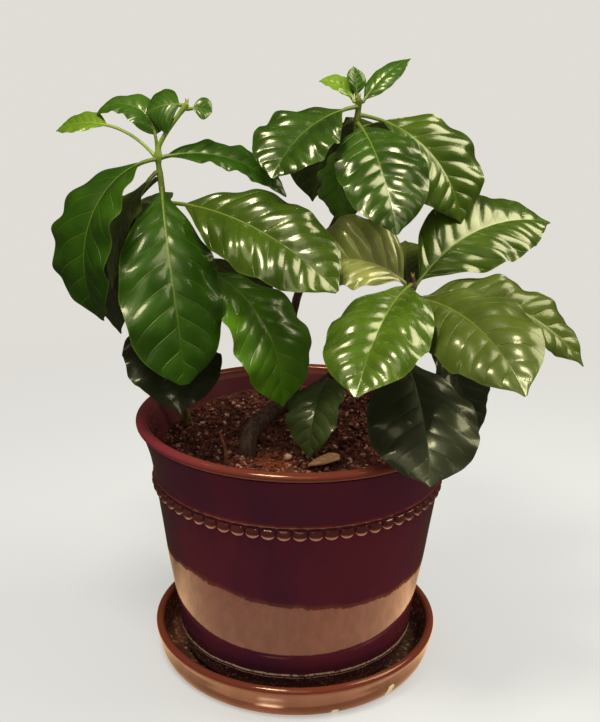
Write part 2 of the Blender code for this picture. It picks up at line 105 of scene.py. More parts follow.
class Sheet:
    """A material's node tree, to which every kind of node is added by one method.

    The MIX numbers are the sockets that a Mix node uses for colours: several of its sockets
    have the same name.
    """

    MIX_FACTOR, MIX_FIRST, MIX_SECOND, MIX_RESULT = 0, 6, 7, 2

    def __init__(self, name: str) -> None:
        """Start an empty material of this name."""
        self.material = bpy.data.materials.new(name)
        self.material.use_nodes = True
        self.tree = self.material.node_tree
        self.tree.nodes.clear()

    def add(self, kind: str, settings: Mapping[str, object] | None = None,
            sockets: Mapping[str | int, object] | None = None) -> bpy.types.Node:
        """Add a node.

        Args:
            kind: The node's type.
            settings: Its properties, set first; stops are a colour ramp's places and colours.
            sockets: Values or Shades for its inputs, by name or number.

        Returns:
            The node.
        """
        node = self.tree.nodes.new(kind)
        for name, value in (settings or {}).items():
            if name == "stops":
                self._set_stops(node.color_ramp, value)
            else:
                setattr(node, name, value)
        for key, value in (sockets or {}).items():
            if isinstance(value, Shade):
                self.tree.links.new(value.socket, node.inputs[key])
            else:
                node.inputs[key].default_value = value
        return node

    @staticmethod
    def _set_stops(ramp: bpy.types.ColorRamp, stops: Sequence[tuple[float, Color]]) -> None:
        """Give a colour ramp its places and colours."""
        while len(ramp.elements) < len(stops):
            ramp.elements.new(1.0)
        for element, (place, color) in zip(ramp.elements, stops):
            element.position = place
            element.color = (*color, 1.0)

    def shade(self, node: bpy.types.Node, output: str | int = 0) -> Shade:
        """Return one of a node's outputs, ready for expressions."""
        return Shade(self, node.outputs[output])

    def place(self) -> Shade:
        """Return the point's place in metres."""
        return self.shade(self.add("ShaderNodeTexCoord"), "Object")

    def along_axis(self, axis: str) -> Shade:
        """Return the point's X, Y or Z in metres."""
        return self.shade(self.add("ShaderNodeSeparateXYZ", sockets={0: self.place()}), axis)

    def from_axis(self) -> Shade:
        """Return the point's distance from the pot's axis in metres."""
        flat = self.add("ShaderNodeVectorMath", {"operation": "MULTIPLY"}, {0: self.place(), 1: (1, 1, 0)})
        node = self.add("ShaderNodeVectorMath", {"operation": "LENGTH"}, {0: self.shade(flat)})
        return self.shade(node, "Value")

    def stored(self, name: str) -> Shade:
        """Return a value that the mesh stores for each point."""
        return self.shade(self.add("ShaderNodeAttribute", {"attribute_name": name}), "Fac")

    def cloud(self, scale: float, detail: float = 3.0, rough: float = 0.5,
              stretch: Place = (1, 1, 1)) -> Shade:
        """Return soft noise.

        Args:
            scale: How many patches to a metre.
            detail: How many finer layers it has.
            rough: How strong the finer layers are.
            stretch: How much more often it changes along each axis.

        Returns:
            The noise, about 0.5 on average.
        """
        spot = self.add("ShaderNodeVectorMath", {"operation": "MULTIPLY"}, {0: self.place(), 1: stretch})
        return self.shade(self.add("ShaderNodeTexNoise", sockets={
            "Vector": self.shade(spot), "Scale": scale, "Detail": detail, "Roughness": rough}))

    def cells(self, scale: float) -> Shade:
        """Return the distance to the edges of irregular cells, so many to a metre."""
        node = self.add("ShaderNodeTexVoronoi", {"feature": "DISTANCE_TO_EDGE"},
                        {"Vector": self.place(), "Scale": scale})
        return self.shade(node, "Distance")

    def blend(self, factor: Shade | float, first: Shade | Color, second: Shade | Color) -> Shade:
        """Return two colours mixed: the first where the factor is 0, the second where it is 1."""
        low, high = ((*c, 1.0) if isinstance(c, tuple) else c for c in (first, second))
        node = self.add("ShaderNodeMix", {"data_type": "RGBA"},
                        {self.MIX_FACTOR: factor, self.MIX_FIRST: low, self.MIX_SECOND: high})
        return self.shade(node, self.MIX_RESULT)

    def ramp(self, factor: Shade, *stops: tuple[float, Color]) -> Shade:
        """Return a colour read from a ramp."""
        return self.shade(self.add("ShaderNodeValToRGB", {"stops": stops}, {0: factor}))

    def bump(self, height: Shade, depth: float, under: Shade | None = None) -> Shade:
        """Return a normal bent by a height, where depth in millimetres is a height of 1."""
        sockets = {"Height": height, "Distance": depth * MM, "Strength": 1.0}
        if under is not None:
            sockets["Normal"] = under
        return self.shade(self.add("ShaderNodeBump", sockets=sockets))

    def close(self, sockets: Mapping[str, object]) -> bpy.types.Material:
        """End the material in a Principled shader with these sockets, and return it."""
        shader = self.add("ShaderNodeBsdfPrincipled", sockets={
            key: (*value, 1.0) if isinstance(value, tuple) and len(value) == 3 else value
            for key, value in sockets.items()})
        self.add("ShaderNodeOutputMaterial", sockets={"Surface": self.shade(shader)})
        return self.material


@dataclass(frozen=True)
class Shade:
    """A shader socket that adds Math nodes when it is used in an expression."""

    sheet: Sheet
    socket: bpy.types.NodeSocket

    def math(self, operation: str, *values: Shade | float) -> Shade:
        """Return the result of a Math node on some values."""
        node = self.sheet.add("ShaderNodeMath", {"operation": operation}, dict(enumerate(values)))
        return self.sheet.shade(node)

    def __add__(self, other: Shade | float) -> Shade:
        """Return the sum."""
        return self.math("ADD", self, other)

    __radd__ = __add__

    def __sub__(self, other: Shade | float) -> Shade:
        """Return the difference."""
        return self.math("SUBTRACT", self, other)

    def __mul__(self, other: Shade | float) -> Shade:
        """Return the product."""
        return self.math("MULTIPLY", self, other)

    __rmul__ = __mul__

    def __abs__(self) -> Shade:
        """Return the value without its sign."""
        return self.math("ABSOLUTE", self)

    def sine(self) -> Shade:
        """Return the sine."""
        return self.math("SINE", self)

    def top(self, other: Shade | float) -> Shade:
        """Return the larger of two values."""
        return self.math("MAXIMUM", self, other)

    def rise(self, low: float, high: float) -> Shade:
        """Return 0 below low and 1 above high, or the reverse where low is the larger."""
        node = self.sheet.add("ShaderNodeMapRange", {"interpolation_type": "SMOOTHSTEP"},
                              {0: self, 1: min(low, high), 2: max(low, high), 3: float(low > high),
                               4: float(low <= high)})
        return self.sheet.shade(node)

    def band(self, middle: float, half: float, soft: float) -> Shade:
        """Return 1 within half of the middle, falling to 0 over soft beyond it."""
        return abs(self - middle).rise(half + soft, half)


@dataclass(frozen=True)
class LeafFinish:
    """How one age of leaf is coloured, above, below and along its rib, and how it shines; a few are copies
    painted darker as shade or paler as sheen.

    gloss is how rough its skin is, veined how pale the lines of its veins are, and polish how
    much of a full leaf's shine it has.
    """

    deep: Color
    bright: Color
    rib: Color
    under: Color
    gloss: float
    veined: float
    slot: str = "leaf_green"
    polish: float = 1.0

    def faces(self, name: str) -> list[bpy.types.Material]:
        """Return the materials of the upper face, the underside and the rib."""
        return [self._upper(name), self._lower(name), self._rib(name)]

    @staticmethod
    def _veins(sheet: Sheet) -> tuple[Shade, Shade]:
        """Return the fine lines of the lateral veins and how near the midrib a point is."""
        phase = sheet.stored("vein") * math.pi
        across = sheet.stored("across")
        line = abs(phase.sine()).rise(0.14, 0.02) * across.rise(1.0, 0.72)
        return line, across.rise(0.3, 0.0)

    def _upper(self, name: str) -> bpy.types.Material:
        """Return the glossy upper face: green in soft patches, paler along the veins."""
        sheet = Sheet(f"{name}_upper")
        line, near_rib = self._veins(sheet)
        patches = sheet.cloud(38, 3, 0.55).rise(0.3, 0.72)
        color = sheet.blend(patches, self.deep, self.bright)
        color = sheet.blend(near_rib * 0.35, color, self.bright)
        fine = sheet.cells(620).rise(0.10, 0.0)
        color = sheet.blend(fine * 0.18, color, self.bright)
        across = sheet.stored("across")
        color = sheet.blend(line * self.veined, color, self.rib)
        # Painted highlight: a thin pale line along the leaf's margin.
        color = sheet.blend(across.rise(0.96, 1.0) * 0.35, color, self.rib)
        groove = across.rise(0.03, 0.008) * sheet.stored("along").rise(1.0, 0.4)
        color = sheet.blend(groove * 0.6, color, self.rib)
        rough = self.gloss - 0.03 + 0.08 * sheet.cloud(120, 4, 0.6)
        net = sheet.bump(sheet.cells(620).rise(0.0, 0.22), 0.02)
        ribbing = abs((sheet.stored("vein") * (3 * math.pi) + 4.0 * sheet.cloud(90, 2)).sine())
        pleats = sheet.bump(ribbing * across.rise(0.0, 0.25), 0.03, net)
        puckers = sheet.bump(sheet.cloud(150, 3, 0.55), 0.13, pleats)
        crease = abs((sheet.stored("vein") * math.pi).sine()).rise(0.0, 0.2).top(across.rise(0.1, 0.02))
        creased = sheet.bump(crease.top(across.rise(0.88, 1.0)), 0.28, puckers)
        return sheet.close({"Base Color": color, "Roughness": rough, "Normal": creased,
                            "Specular IOR Level": 0.5 * self.polish, "Coat Weight": self.polish,
                            "Coat Roughness": 0.17})

    def _lower(self, name: str) -> bpy.types.Material:
        """Return the matte, paler underside with its raised veins."""
        sheet = Sheet(f"{name}_lower")
        line, near_rib = self._veins(sheet)
        color = sheet.blend(sheet.cloud(60, 3, 0.6), self.under, self.deep)
        color = sheet.blend(0.65, color, self.under)
        color = sheet.blend((line * 0.6).top(near_rib * 0.25), color, self.rib)
        net = sheet.bump(sheet.cells(520).rise(0.16, 0.0), 0.09)
        return sheet.close({"Base Color": color, "Roughness": self.gloss + 0.24, "Normal": net,
                            "Specular IOR Level": 0.4})

    def _rib(self, name: str) -> bpy.types.Material:
        """Return the pale rib, greener towards the leaf's tip."""
        sheet = Sheet(f"{name}_rib")
        along = sheet.stored("along")
        color = sheet.blend(along.rise(0.25, 1.0) * 0.75, self.rib, self.bright)
        color = sheet.blend(sheet.cloud(260, 3, 0.6) * 0.35, color, self.deep)
        streaks = sheet.bump(sheet.cloud(700, 3, 0.6), 0.06)
        return sheet.close({"Base Color": color, "Roughness": 0.42, "Normal": streaks,
                            "Specular IOR Level": 0.5})


class Foliage(Enum):
    """The finishes of the leaves, by their age and by how they catch the light; the darkest and the greyest
    paint shade on leaves that hang in shadow, and the palest paints a sheen.
    """

    YOUNG = LeafFinish(tone(80, 116, 22), tone(116, 150, 42), tone(164, 182, 92), tone(112, 134, 58),
                       0.32, 0.5, "young_leaf_green", polish=0.6)
    FRESH = LeafFinish(tone(40, 74, 12), tone(62, 98, 22), tone(116, 142, 56), tone(78, 100, 48),
                       0.34, 0.25, "young_leaf_green", polish=0.6)
    LIVELY = LeafFinish(tone(57, 101, 4), tone(84, 132, 14), tone(122, 144, 54), tone(76, 96, 44), 0.31, 0.2)
    FULL = LeafFinish(tone(46, 70, 10), tone(68, 92, 20), tone(112, 132, 52), tone(72, 88, 44), 0.25, 0.15)
    BRIGHT = LeafFinish(tone(58, 86, 10), tone(80, 108, 24), tone(120, 140, 54), tone(84, 96, 46), 0.26, 0.2)
    DEEP = LeafFinish(tone(34, 60, 8), tone(52, 84, 14), tone(108, 130, 50), tone(60, 78, 40), 0.27, 0.2)
    MATT = LeafFinish(tone(31, 61, 4), tone(47, 84, 9), tone(104, 128, 48), tone(58, 74, 40), 0.38, 0.3,
                      polish=0.42)
    OLIVE = LeafFinish(tone(62, 78, 22), tone(84, 100, 38), tone(116, 126, 60), tone(74, 86, 48), 0.36, 0.2,
                       polish=0.65)
    # Painted shade: a darker, greyer green for leaves that hang in the shadow of others.
    DARK = LeafFinish(tone(34, 38, 28), tone(46, 52, 38), tone(70, 80, 50), tone(46, 54, 36), 0.38, 0.2,
                      polish=0.5)
    # Painted sheen: a pale, silvery green for a leaf that catches a broad sheen.
    PALE = LeafFinish(tone(106, 120, 52), tone(150, 154, 94), tone(182, 184, 122), tone(96, 104, 60),
                      0.28, 0.25)
    # Painted shade: a greyer, duller green for a leaf in the shadow of the leaves above it.
    SHADY = LeafFinish(tone(48, 60, 28), tone(62, 76, 42), tone(88, 100, 56), tone(60, 70, 44), 0.42, 0.3,
                       polish=0.5)


@dataclass(frozen=True)
class GlazeFinish:
    """Dark burgundy glaze that breaks to brown where it runs thin over an edge.

    tide and old_tide are how high above the pot's foot two lines of dried minerals lie, and
    damp how high the darker band at the bottom reaches. bead_reach is how far inside the rim's
    radius the beads start, and glassy is the glaze's index of refraction.
    """

    deep: Color = tone(73, 31, 56)
    warm: Color = tone(94, 36, 54)
    thin: Color = tone(118, 58, 46)
    pink: Color = tone(132, 48, 66)
    olive: Color = tone(78, 50, 34)
    lining: Color = tone(112, 58, 74)
    tint: Color = (1.0, 0.76, 0.70)
    mineral: Color = tone(222, 192, 180)
    # Painted reflection colour for the beads' lower edges.
    petal: Color = tone(176, 120, 118)
    clay: Color = tone(252, 240, 222)
    # Dark colour for the wet glaze below the tide line, the darker bottom of the pot and the painted shade
    # inside the saucer.
    soot: Color = tone(46, 26, 26)
    tide: float = 16.8
    old_tide: float = 14.8
    damp: float = 25.0
    bead_reach: float = 11.2
    glassy: float = 1.58

    def pot(self, ridge: float, foot: float, rim_low: float, rim_radius: float) -> bpy.types.Material:
        """Return the pot's glaze.

        Args:
            ridge: Height of the thin ridge.
            foot: Height of the pot's foot.
            rim_low: Height where the rolled rim starts.
            rim_radius: Radius over the rim.

        Returns:
            The material.
        """
        sheet = Sheet("pot_glaze")
        height = sheet.along_axis("Z") * (1 / MM)
        radius = sheet.from_axis() * (1 / MM)
        color = self._body(sheet)
        color = sheet.blend(height.rise(ridge, ridge + 2.0) * 0.4, color, self.deep)
        worn = height.band(ridge, 0.5, 0.7) * sheet.cloud(240, 2).rise(0.25, 0.6)
        color = sheet.blend(worn * 0.7, color, self.thin)
        bead = rim_radius - self.bead_reach
        proud = radius.rise(bead, bead + 0.6) * height.rise(ridge - 1.5, ridge - 2.0)
        color = sheet.blend(proud * 0.4, color, self.olive)
        # Painted reflection: a pale pink crescent along each bead's lower edge, where the glaze mirrors the
        # pale surface below.
        crescent = proud * height.rise(ridge - 5.6, ridge - 6.8)
        color = sheet.blend(crescent * (0.5 + 0.5 * sheet.cloud(330, 2, 0.6)), color, self.petal)
        inside = (radius - 0.2 * height).rise(64.5, 63.0) * height.rise(130.0, 134.0)
        lining = sheet.blend(sheet.cloud(26, 3, 0.5).rise(0.5, 0.62), self.lining, self.thin)
        color = sheet.blend(inside * 0.8, color, lining)
        side = sheet.along_axis("X").rise(-0.02, -0.09)
        rim_color = sheet.blend(side, self.thin, self.pink)
        rim = height.rise(rim_low, rim_low + 1.2)
        color = sheet.blend(rim * (0.62 + 0.38 * sheet.cloud(70, 4, 0.6)), color, rim_color)
        level = height + 2.2 * (sheet.cloud(60, 3, 0.6) - 0.5)
        tide = level.band(foot + self.tide, 0.35, 0.6)
        tide = tide.top(0.6 * level.band(foot + self.old_tide, 0.1, 0.3))
        grit = sheet.cloud(560, 3, 0.8).rise(0.6, 0.68) * level.band(foot + 12.0, 4.0, 2.5)
        crust = (tide * sheet.cloud(420, 4, 0.75).rise(0.36, 0.5)).top(grit * 0.6)
        wet = level.rise(foot + self.tide, foot + self.tide - 1.5)
        # The wall is darker towards the bottom, up to this height above the foot.
        color = sheet.blend(level.rise(foot + self.damp, foot + self.damp - 4.0) * 0.4, color, self.soot)
        color = sheet.blend(wet * 0.45, color, self.soot)
        color = sheet.blend(crust * 0.95, color, self.mineral)
        ledge = height.band(rim_low + 0.9, 1.0, 0.4) * 0.5
        rough = 0.035 + 0.03 * sheet.cloud(45, 3) + crust * 0.6 + wet * 0.1 + rim * 0.05 + ledge
        return sheet.close({"Base Color": color, "Roughness": rough, "Normal": self._skin(sheet, 0.16),
                            "IOR": self.glassy, "Specular Tint": self.tint})

    def saucer(self, rim: float, floor: float, chips: Mapping[Place, float]) -> bpy.types.Material:
        """Return the saucer's glaze.

        Args:
            rim: Height of the rim's top.
            floor: Height of the inside floor.
            chips: Places where the glaze is chipped off, with each chip's radius.

        Returns:
            The material.
        """
        sheet = Sheet("saucer_glaze")
        height = sheet.along_axis("Z") * (1 / MM)
        color = self._body(sheet)
        # The saucer is paler and browner than the pot: partly thinner glaze, partly a painted reflection of
        # the pale surface it stands on.
        color = sheet.blend(0.72, color, self.thin)
        color = sheet.blend(height.rise(rim - 4.0, rim) * 0.45, color, self.thin)
        spots = sheet.cloud(330, 5, 0.72).rise(0.56, 0.63) * height.band(floor + 7.0, 5.5, 3.0)
        radius = sheet.from_axis() * (1 / MM)
        spots = spots * radius.rise(89.5, 86.5)
        # Painted shade: the inside floor round the pot's foot is darkened where the pot and the rim shade it,
        # and its glaze is made duller.
        grime = radius.rise(87.0, 84.5) * height.rise(rim - 6.0, floor + 5.0)
        # Orange-brown patches on the left side of the inside floor.
        rusty = sheet.cloud(75, 4, 0.65).rise(0.44, 0.62) * sheet.along_axis("X").rise(0.02, -0.05)
        color = sheet.blend(grime * 0.75, color, self.soot)
        color = sheet.blend(grime * rusty * 0.85, color, self.thin)
        color = sheet.blend(spots * 0.9, color, self.mineral)
        bare = self._chips(sheet, chips)
        color = sheet.blend(bare, color, self.clay)
        rough = 0.07 + 0.05 * sheet.cloud(60, 3) + (spots * 0.5).top(bare * 0.7).top(grime * 0.5)
        return sheet.close({"Base Color": color, "Roughness": rough, "Normal": self._skin(sheet, 0.2),
                            "IOR": self.glassy, "Specular Tint": self.tint})

    def _body(self, sheet: Sheet) -> Shade:
        """Return the glaze's own colour, in slow drifts with small dark pools."""
        drift = sheet.cloud(16, 4, 0.55, stretch=(1, 1, 0.5)).rise(0.36, 0.66)
        color = sheet.blend(drift, self.deep, self.warm)
        pools = sheet.cloud(140, 4, 0.65).rise(0.58, 0.76)
        return sheet.blend(pools * 0.25, color, self.deep)

    @staticmethod
    def _skin(sheet: Sheet, waves: float) -> Shade:
        """Return the normal of a glaze that isn't quite even."""
        orange_peel = sheet.bump(sheet.cloud(420, 2, 0.5), 0.01)
        return sheet.bump(sheet.cloud(34, 2, 0.45), waves, orange_peel)

    @staticmethod
    def _chips(sheet: Sheet, chips: Mapping[Place, float]) -> Shade:
        """Return 1 inside each chipped place, with a ragged edge."""
        ragged = (sheet.cloud(500, 3, 0.7) - 0.5) * (2.4 * MM)
        total = None
        for spot, chip in chips.items():
            away = sheet.add("ShaderNodeVectorMath", {"operation": "DISTANCE"}, {
                0: sheet.place(), 1: tuple(c * MM for c in spot)})
            here = (sheet.shade(away, "Value") + ragged).rise((chip + 0.25) * MM, chip * MM)
            total = here if total is None else total.top(here)
        return total


@dataclass(frozen=True)
class BarkFinish:
    """Skin of a stem: green and smooth when young, grey-brown and cracked when old."""

    young: Color
    old: Color
    ridge: Color
    turn_low: float
    turn_high: float
    depth: float

    def material(self, name: str) -> bpy.types.Material:
        """Return the stem's material, old below turn_low and young above turn_high."""
        sheet = Sheet(name)
        age = (sheet.along_axis("Z") * (1 / MM)).rise(self.turn_high, self.turn_low)
        grain = sheet.cloud(420, 5, 0.65, stretch=(1, 1, 0.22))
        bark = sheet.blend(grain.rise(0.36, 0.66), self.old, self.ridge)
        fresh = sheet.blend(grain, self.young, tuple(0.72 * c for c in self.young))
        color = sheet.blend((age + 0.5 * (sheet.cloud(90, 4, 0.6) - 0.5)).rise(0.2, 0.8), fresh, bark)
        cracks = sheet.bump(grain, self.depth)
        fine = sheet.bump(sheet.cloud(1500, 3, 0.6), 0.08, cracks)
        return sheet.close({"Base Color": color, "Roughness": 0.42 + 0.4 * age, "Normal": fine})


@dataclass(frozen=True)
class EarthFinish:
    """Moist peat with bits of bark, coarse grit and an orange-brown patch at the front."""

    peat: Color = tone(46, 17, 17)
    crumb: Color = tone(114, 52, 50)
    bark: Color = tone(190, 110, 104)
    pink: Color = tone(250, 202, 196)
    rust: Color = tone(150, 68, 34)
    patch: Place = (-14.0, -24.0, 138.0)
    patch_radius: float = 17.0

    def _rust(self, sheet: Sheet) -> Shade:
        """Return how far inside the orange-brown patch at the front a point lies."""
        away = sheet.shade(sheet.add("ShaderNodeVectorMath", {"operation": "DISTANCE"}, {
            0: sheet.place(), 1: tuple(c * MM for c in self.patch)}), "Value")
        ragged = away + (sheet.cloud(120, 3) - 0.5) * (10 * MM)
        return ragged.rise(self.patch_radius * MM, 0.4 * self.patch_radius * MM)

    def bed(self) -> bpy.types.Material:
        """Return the fine dark bed between the grains."""
        sheet = Sheet("soil_bed")
        crumbs = sheet.cloud(520, 6, 0.72)
        color = sheet.ramp(crumbs, (0.34, self.peat), (0.56, self.crumb), (0.70, self.bark))
        color = sheet.blend(self._rust(sheet) * 0.6, color, self.rust)
        rough_skin = sheet.bump(crumbs, 1.6)
        return sheet.close({"Base Color": color, "Roughness": 0.82, "Normal": rough_skin})

    def grains(self) -> bpy.types.Material:
        """Return the loose grains' material, each grain by its own stored shade."""
        sheet = Sheet("soil_grains")
        own = sheet.stored("grain")
        color = sheet.ramp(own, (0.0, self.peat), (0.5, self.crumb), (0.86, self.bark), (0.985, self.pink))
        color = sheet.blend(sheet.cloud(1400, 4, 0.7) * 0.5, color, self.peat)
        color = sheet.blend(self._rust(sheet) * 0.55, color, self.rust)
        pits = sheet.bump(sheet.cloud(1100, 4, 0.7), 0.5)
        rough = 0.62 + 0.3 * sheet.cloud(300, 2)
        return sheet.close({"Base Color": color, "Roughness": rough, "Normal": pits})


@dataclass(frozen=True)
class DryFinish:
    """Dry wood or dry husk: light, fibrous and dull."""

    light: Color
    dark: Color

    def material(self, name: str, stretch: Place = (1, 1, 1)) -> bpy.types.Material:
        """Return the material, its fibres drawn out where stretch is small."""
        sheet = Sheet(name)
        fibre = sheet.cloud(900, 5, 0.7, stretch=stretch)
        color = sheet.blend(fibre.rise(0.36, 0.68), self.dark, self.light)
        return sheet.close({"Base Color": color, "Roughness": 0.78, "Normal": sheet.bump(fibre, 0.35)})


@dataclass
class Draft:
    """Points, faces and stored values gathered for one piece, in millimetres."""

    points: list[np.ndarray] = field(default_factory=list)
    faces: list[tuple[int, ...]] = field(default_factory=list)
    slots: list[int] = field(default_factory=list)
    stored: dict[str, list[np.ndarray]] = field(default_factory=dict)
    count: int = 0

    DOME = 0.6

    def add_points(self, points: np.ndarray, **stored: np.ndarray | float) -> int:
        """Add points with a value each for every stored name, and return the first one's number."""
        flat = np.asarray(points, dtype=float).reshape(-1, 3)
        first = self.count
        self.points.append(flat)
        self.count += len(flat)
        for name, values in stored.items():
            self.stored.setdefault(name, []).append(np.broadcast_to(np.ravel(values), (len(flat),)))
        return first

    def add_faces(self, faces: Sequence[tuple[int, ...]], slot: int = 0) -> None:
        """Add faces in one material slot."""
        self.faces.extend(faces)
        self.slots.extend([slot] * len(faces))

    def add_tube(self, points: np.ndarray, radii: np.ndarray, sides: int, slot: int = 0,
                 start_side: Place = (1, 0, 0), **stored: np.ndarray) -> None:
        """Add a round tube with closed, domed ends.

        Args:
            points: The middle of each ring.
            radii: Each ring's radius.
            sides: Points in a ring.
            slot: Material slot.
            start_side: A direction that the first ring's first point lies towards.
            stored: Values for each ring, by name.
        """
        points = np.asarray(points, dtype=float)
        tangents = np.gradient(points, axis=0)
        tangents /= np.linalg.norm(tangents, axis=1)[:, None]
        angle = np.arange(sides) * 2 * math.pi / sides
        side = np.array(start_side, dtype=float)
        rings = []
        for point, tangent, radius in zip(points, tangents, radii):
            side = side - tangent * (side @ tangent)
            side /= np.linalg.norm(side)
            up = np.cross(tangent, side)
            rings.append(point + radius * (np.outer(np.cos(angle), side) + np.outer(np.sin(angle), up)))
        first = self.add_points(np.array(rings), **{k: np.repeat(v, sides) for k, v in stored.items()})
        self.add_faces([(first + r * sides + s, first + r * sides + (s + 1) % sides,
                         first + (r + 1) * sides + (s + 1) % sides, first + (r + 1) * sides + s)
                        for r in range(len(points) - 1) for s in range(sides)], slot)
        for ring, out in ((0, -1), (len(points) - 1, 1)):
            values = {k: v[ring] for k, v in stored.items()}
            tip = self.add_points(points[ring] + out * tangents[ring] * radii[ring] * self.DOME, **values)
            base = first + ring * sides
            fan = [(base + s, base + (s + 1) % sides, tip) for s in range(sides)]
            self.add_faces([f[::-1] for f in fan] if out < 0 else fan, slot)

    def add_turned(self, profile: Sequence[tuple[float, float]], sides: int, closed: bool,
                   slot: int = 0, sway: float = 0.0) -> None:
        """Add a profile of (radius, height) turned round the Z axis.

        Args:
            profile: The section, running so that outside faces outward.
            sides: Points round the axis.
            closed: Whether the section is a closed ring, not one that ends on the axis.
            slot: Material slot.
            sway: How far the wall wanders in and out, as on a thrown piece.
        """
        rings = []
        for radius, height in profile:
            if radius < 1e-6:
                rings.append([self.add_points(np.array([(0.0, 0.0, height)]))])
                continue
            angle = np.arange(sides) * 2 * math.pi / sides
            wander = sway * (np.sin(2 * angle + height / 31) + 0.6 * np.sin(3 * angle - height / 23 + 1.0))
            reach = radius + wander
            first = self.add_points(np.stack([reach * np.cos(angle), reach * np.sin(angle),
                                              np.full(sides, height)], axis=1))
            rings.append(range(first, first + sides))
        pairs = list(zip(rings, rings[1:])) + ([(rings[-1], rings[0])] if closed else [])
        for low, high in pairs:
            for side in range(sides):
                after = (side + 1) % sides
                if len(low) == 1:
                    self.add_faces([(low[0], high[after], high[side])], slot)
                elif len(high) == 1:
                    self.add_faces([(low[side], low[after], high[0])], slot)
                else:
                    self.add_faces([(low[side], low[after], high[after], high[side])], slot)

    def piece(self, name: str, materials: Sequence[bpy.types.Material],
              replaces: Sequence[str] = (), sharp: float = 50.0) -> bpy.types.Object:
        """Make the object, let it ride and give it its finish.

        Args:
            name: The piece's name.
            materials: Its materials, in slot order.
            replaces: CAD nodes that it stands for.
            sharp: Edges sharper than this angle, in degrees, stay sharp.

        Returns:
            The object.
        """
        mesh = bpy.data.meshes.new(name)
        mesh.from_pydata(np.concatenate(self.points) * MM, [], self.faces)
        for material in materials:
            mesh.materials.append(material)
        mesh.polygons.foreach_set("material_index", self.slots)
        for key, parts in self.stored.items():
            layer = mesh.attributes.new(key, "FLOAT", "POINT")
            layer.data.foreach_set("value", np.concatenate(parts).astype(np.float32))
        mesh.shade_smooth()
        mesh.set_sharp_from_angle(angle=math.radians(sharp))
        mesh.validate()
        obj = bpy.data.objects.new(name, mesh)
        bpy.context.scene.collection.objects.link(obj)
        settle(obj, replaces)
        return obj


def settle(obj: bpy.types.Object, replaces: Sequence[str]) -> None:
    """Let a piece ride on the plant's body and stand for its CAD nodes."""
    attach(obj, BODY)
    if replaces:
        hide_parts(*replaces)
    LOG.info("%s: %d faces", obj.name, len(obj.data.polygons))


def smooth_route(route: Sequence[Place], per_span: int) -> np.ndarray:
    """Return points of a Catmull-Rom curve through a route, per_span to each span."""
    knots = np.array(route, dtype=float)
    knots = np.vstack([2 * knots[0] - knots[1], knots, 2 * knots[-1] - knots[-2]])
    t = (np.arange(per_span) / per_span)[:, None]
    spans = [0.5 * (2 * b + (c - a) * t + (2 * a - 5 * b + 4 * c - d) * t ** 2
                    + (3 * b - a - 3 * c + d) * t ** 3)
             for a, b, c, d in zip(knots, knots[1:], knots[2:], knots[3:])]
    return np.vstack([*spans, knots[-2]])


@dataclass(frozen=True)
class Shoot:
    """A stem's route and radii: points in millimetres, radii at its two ends.

    taper below 1 thins it soon above its base. A node swells the stem by SWELL over about
    SWELL_REACH either way.
    """

    route: tuple[Place, ...]
    base_radius: float
    tip_radius: float
    taper: float = 0.45

    PER_SPAN = 10
    SWELL = 0.22
    SWELL_REACH = 2.2

    def center(self, height: float) -> np.ndarray:
        """Return the point on the stem's axis at a height."""
        route = np.array(self.route, dtype=float)
        return np.array([np.interp(height, route[:, 2], route[:, axis]) for axis in range(3)])

    def radius(self, share: np.ndarray | float) -> np.ndarray | float:
        """Return the radius at a share of the stem's length."""
        return self.base_radius + (self.tip_radius - self.base_radius) * share ** self.taper

    def radius_at(self, height: float) -> float:
        """Return the radius at a height, read along the route as the CAD solid has it."""
        points = smooth_route(self.route, 2)
        index = int(np.argmin(np.abs(points[:, 2] - height)))
        return float(self.radius(index / (len(points) - 1)))

    def skin(self, nodes: Sequence[float]) -> tuple[np.ndarray, np.ndarray]:
        """Return the stem's ring centres and radii, thicker at each node where leaves leave it."""
        points = smooth_route(self.route, self.PER_SPAN)
        radii = self.radius(np.linspace(0, 1, len(points)))
        for node in nodes:
            radii = radii * (1 + self.SWELL * np.exp(-((points[:, 2] - node) / self.SWELL_REACH) ** 2))
        return points, radii


LEFT = Shoot(((-74, 30, 112), (-74, 30, 140), (-74, 30, 147), (-79, 25, 172), (-81.5, 18, 211),
              (-82.5, 12, 239), (-82.5, 7, 265), (-83, 2, 300), (-84.7, 0, 323), (-81, 0, 334),
              (-67, 0, 353)), 3.6, 1.3)
CENTER = Shoot(((4, 32, 112), (4, 32, 143), (4, 32, 150), (0, 30, 162), (-5, 28, 173), (-8, 28, 187),
                (-6.5, 29, 204), (0, 30, 236), (14, 30, 265), (26.5, 30, 291), (32.5, 30, 319),
                (34, 30, 343), (34.7, 30, 356)), 7.0, 1.5)
RIGHT = Shoot(((0, 28, 163), (7.5, 19, 171), (20, 10, 183), (33.5, 2, 199), (45, -6, 214),
               (57, -14, 232), (64.5, -19, 243), (66.3, -20, 249), (66.8, -20.2, 256)), 4.2, 1.8)
ROOT = Shoot(((1, 28, 158), (-10, 12, 163), (-20, 1, 160), (-29, -9, 153), (-31.8, -14, 144),
              (-31.8, -14, 137), (-31.8, -14, 114)), 5.0, 5.8)


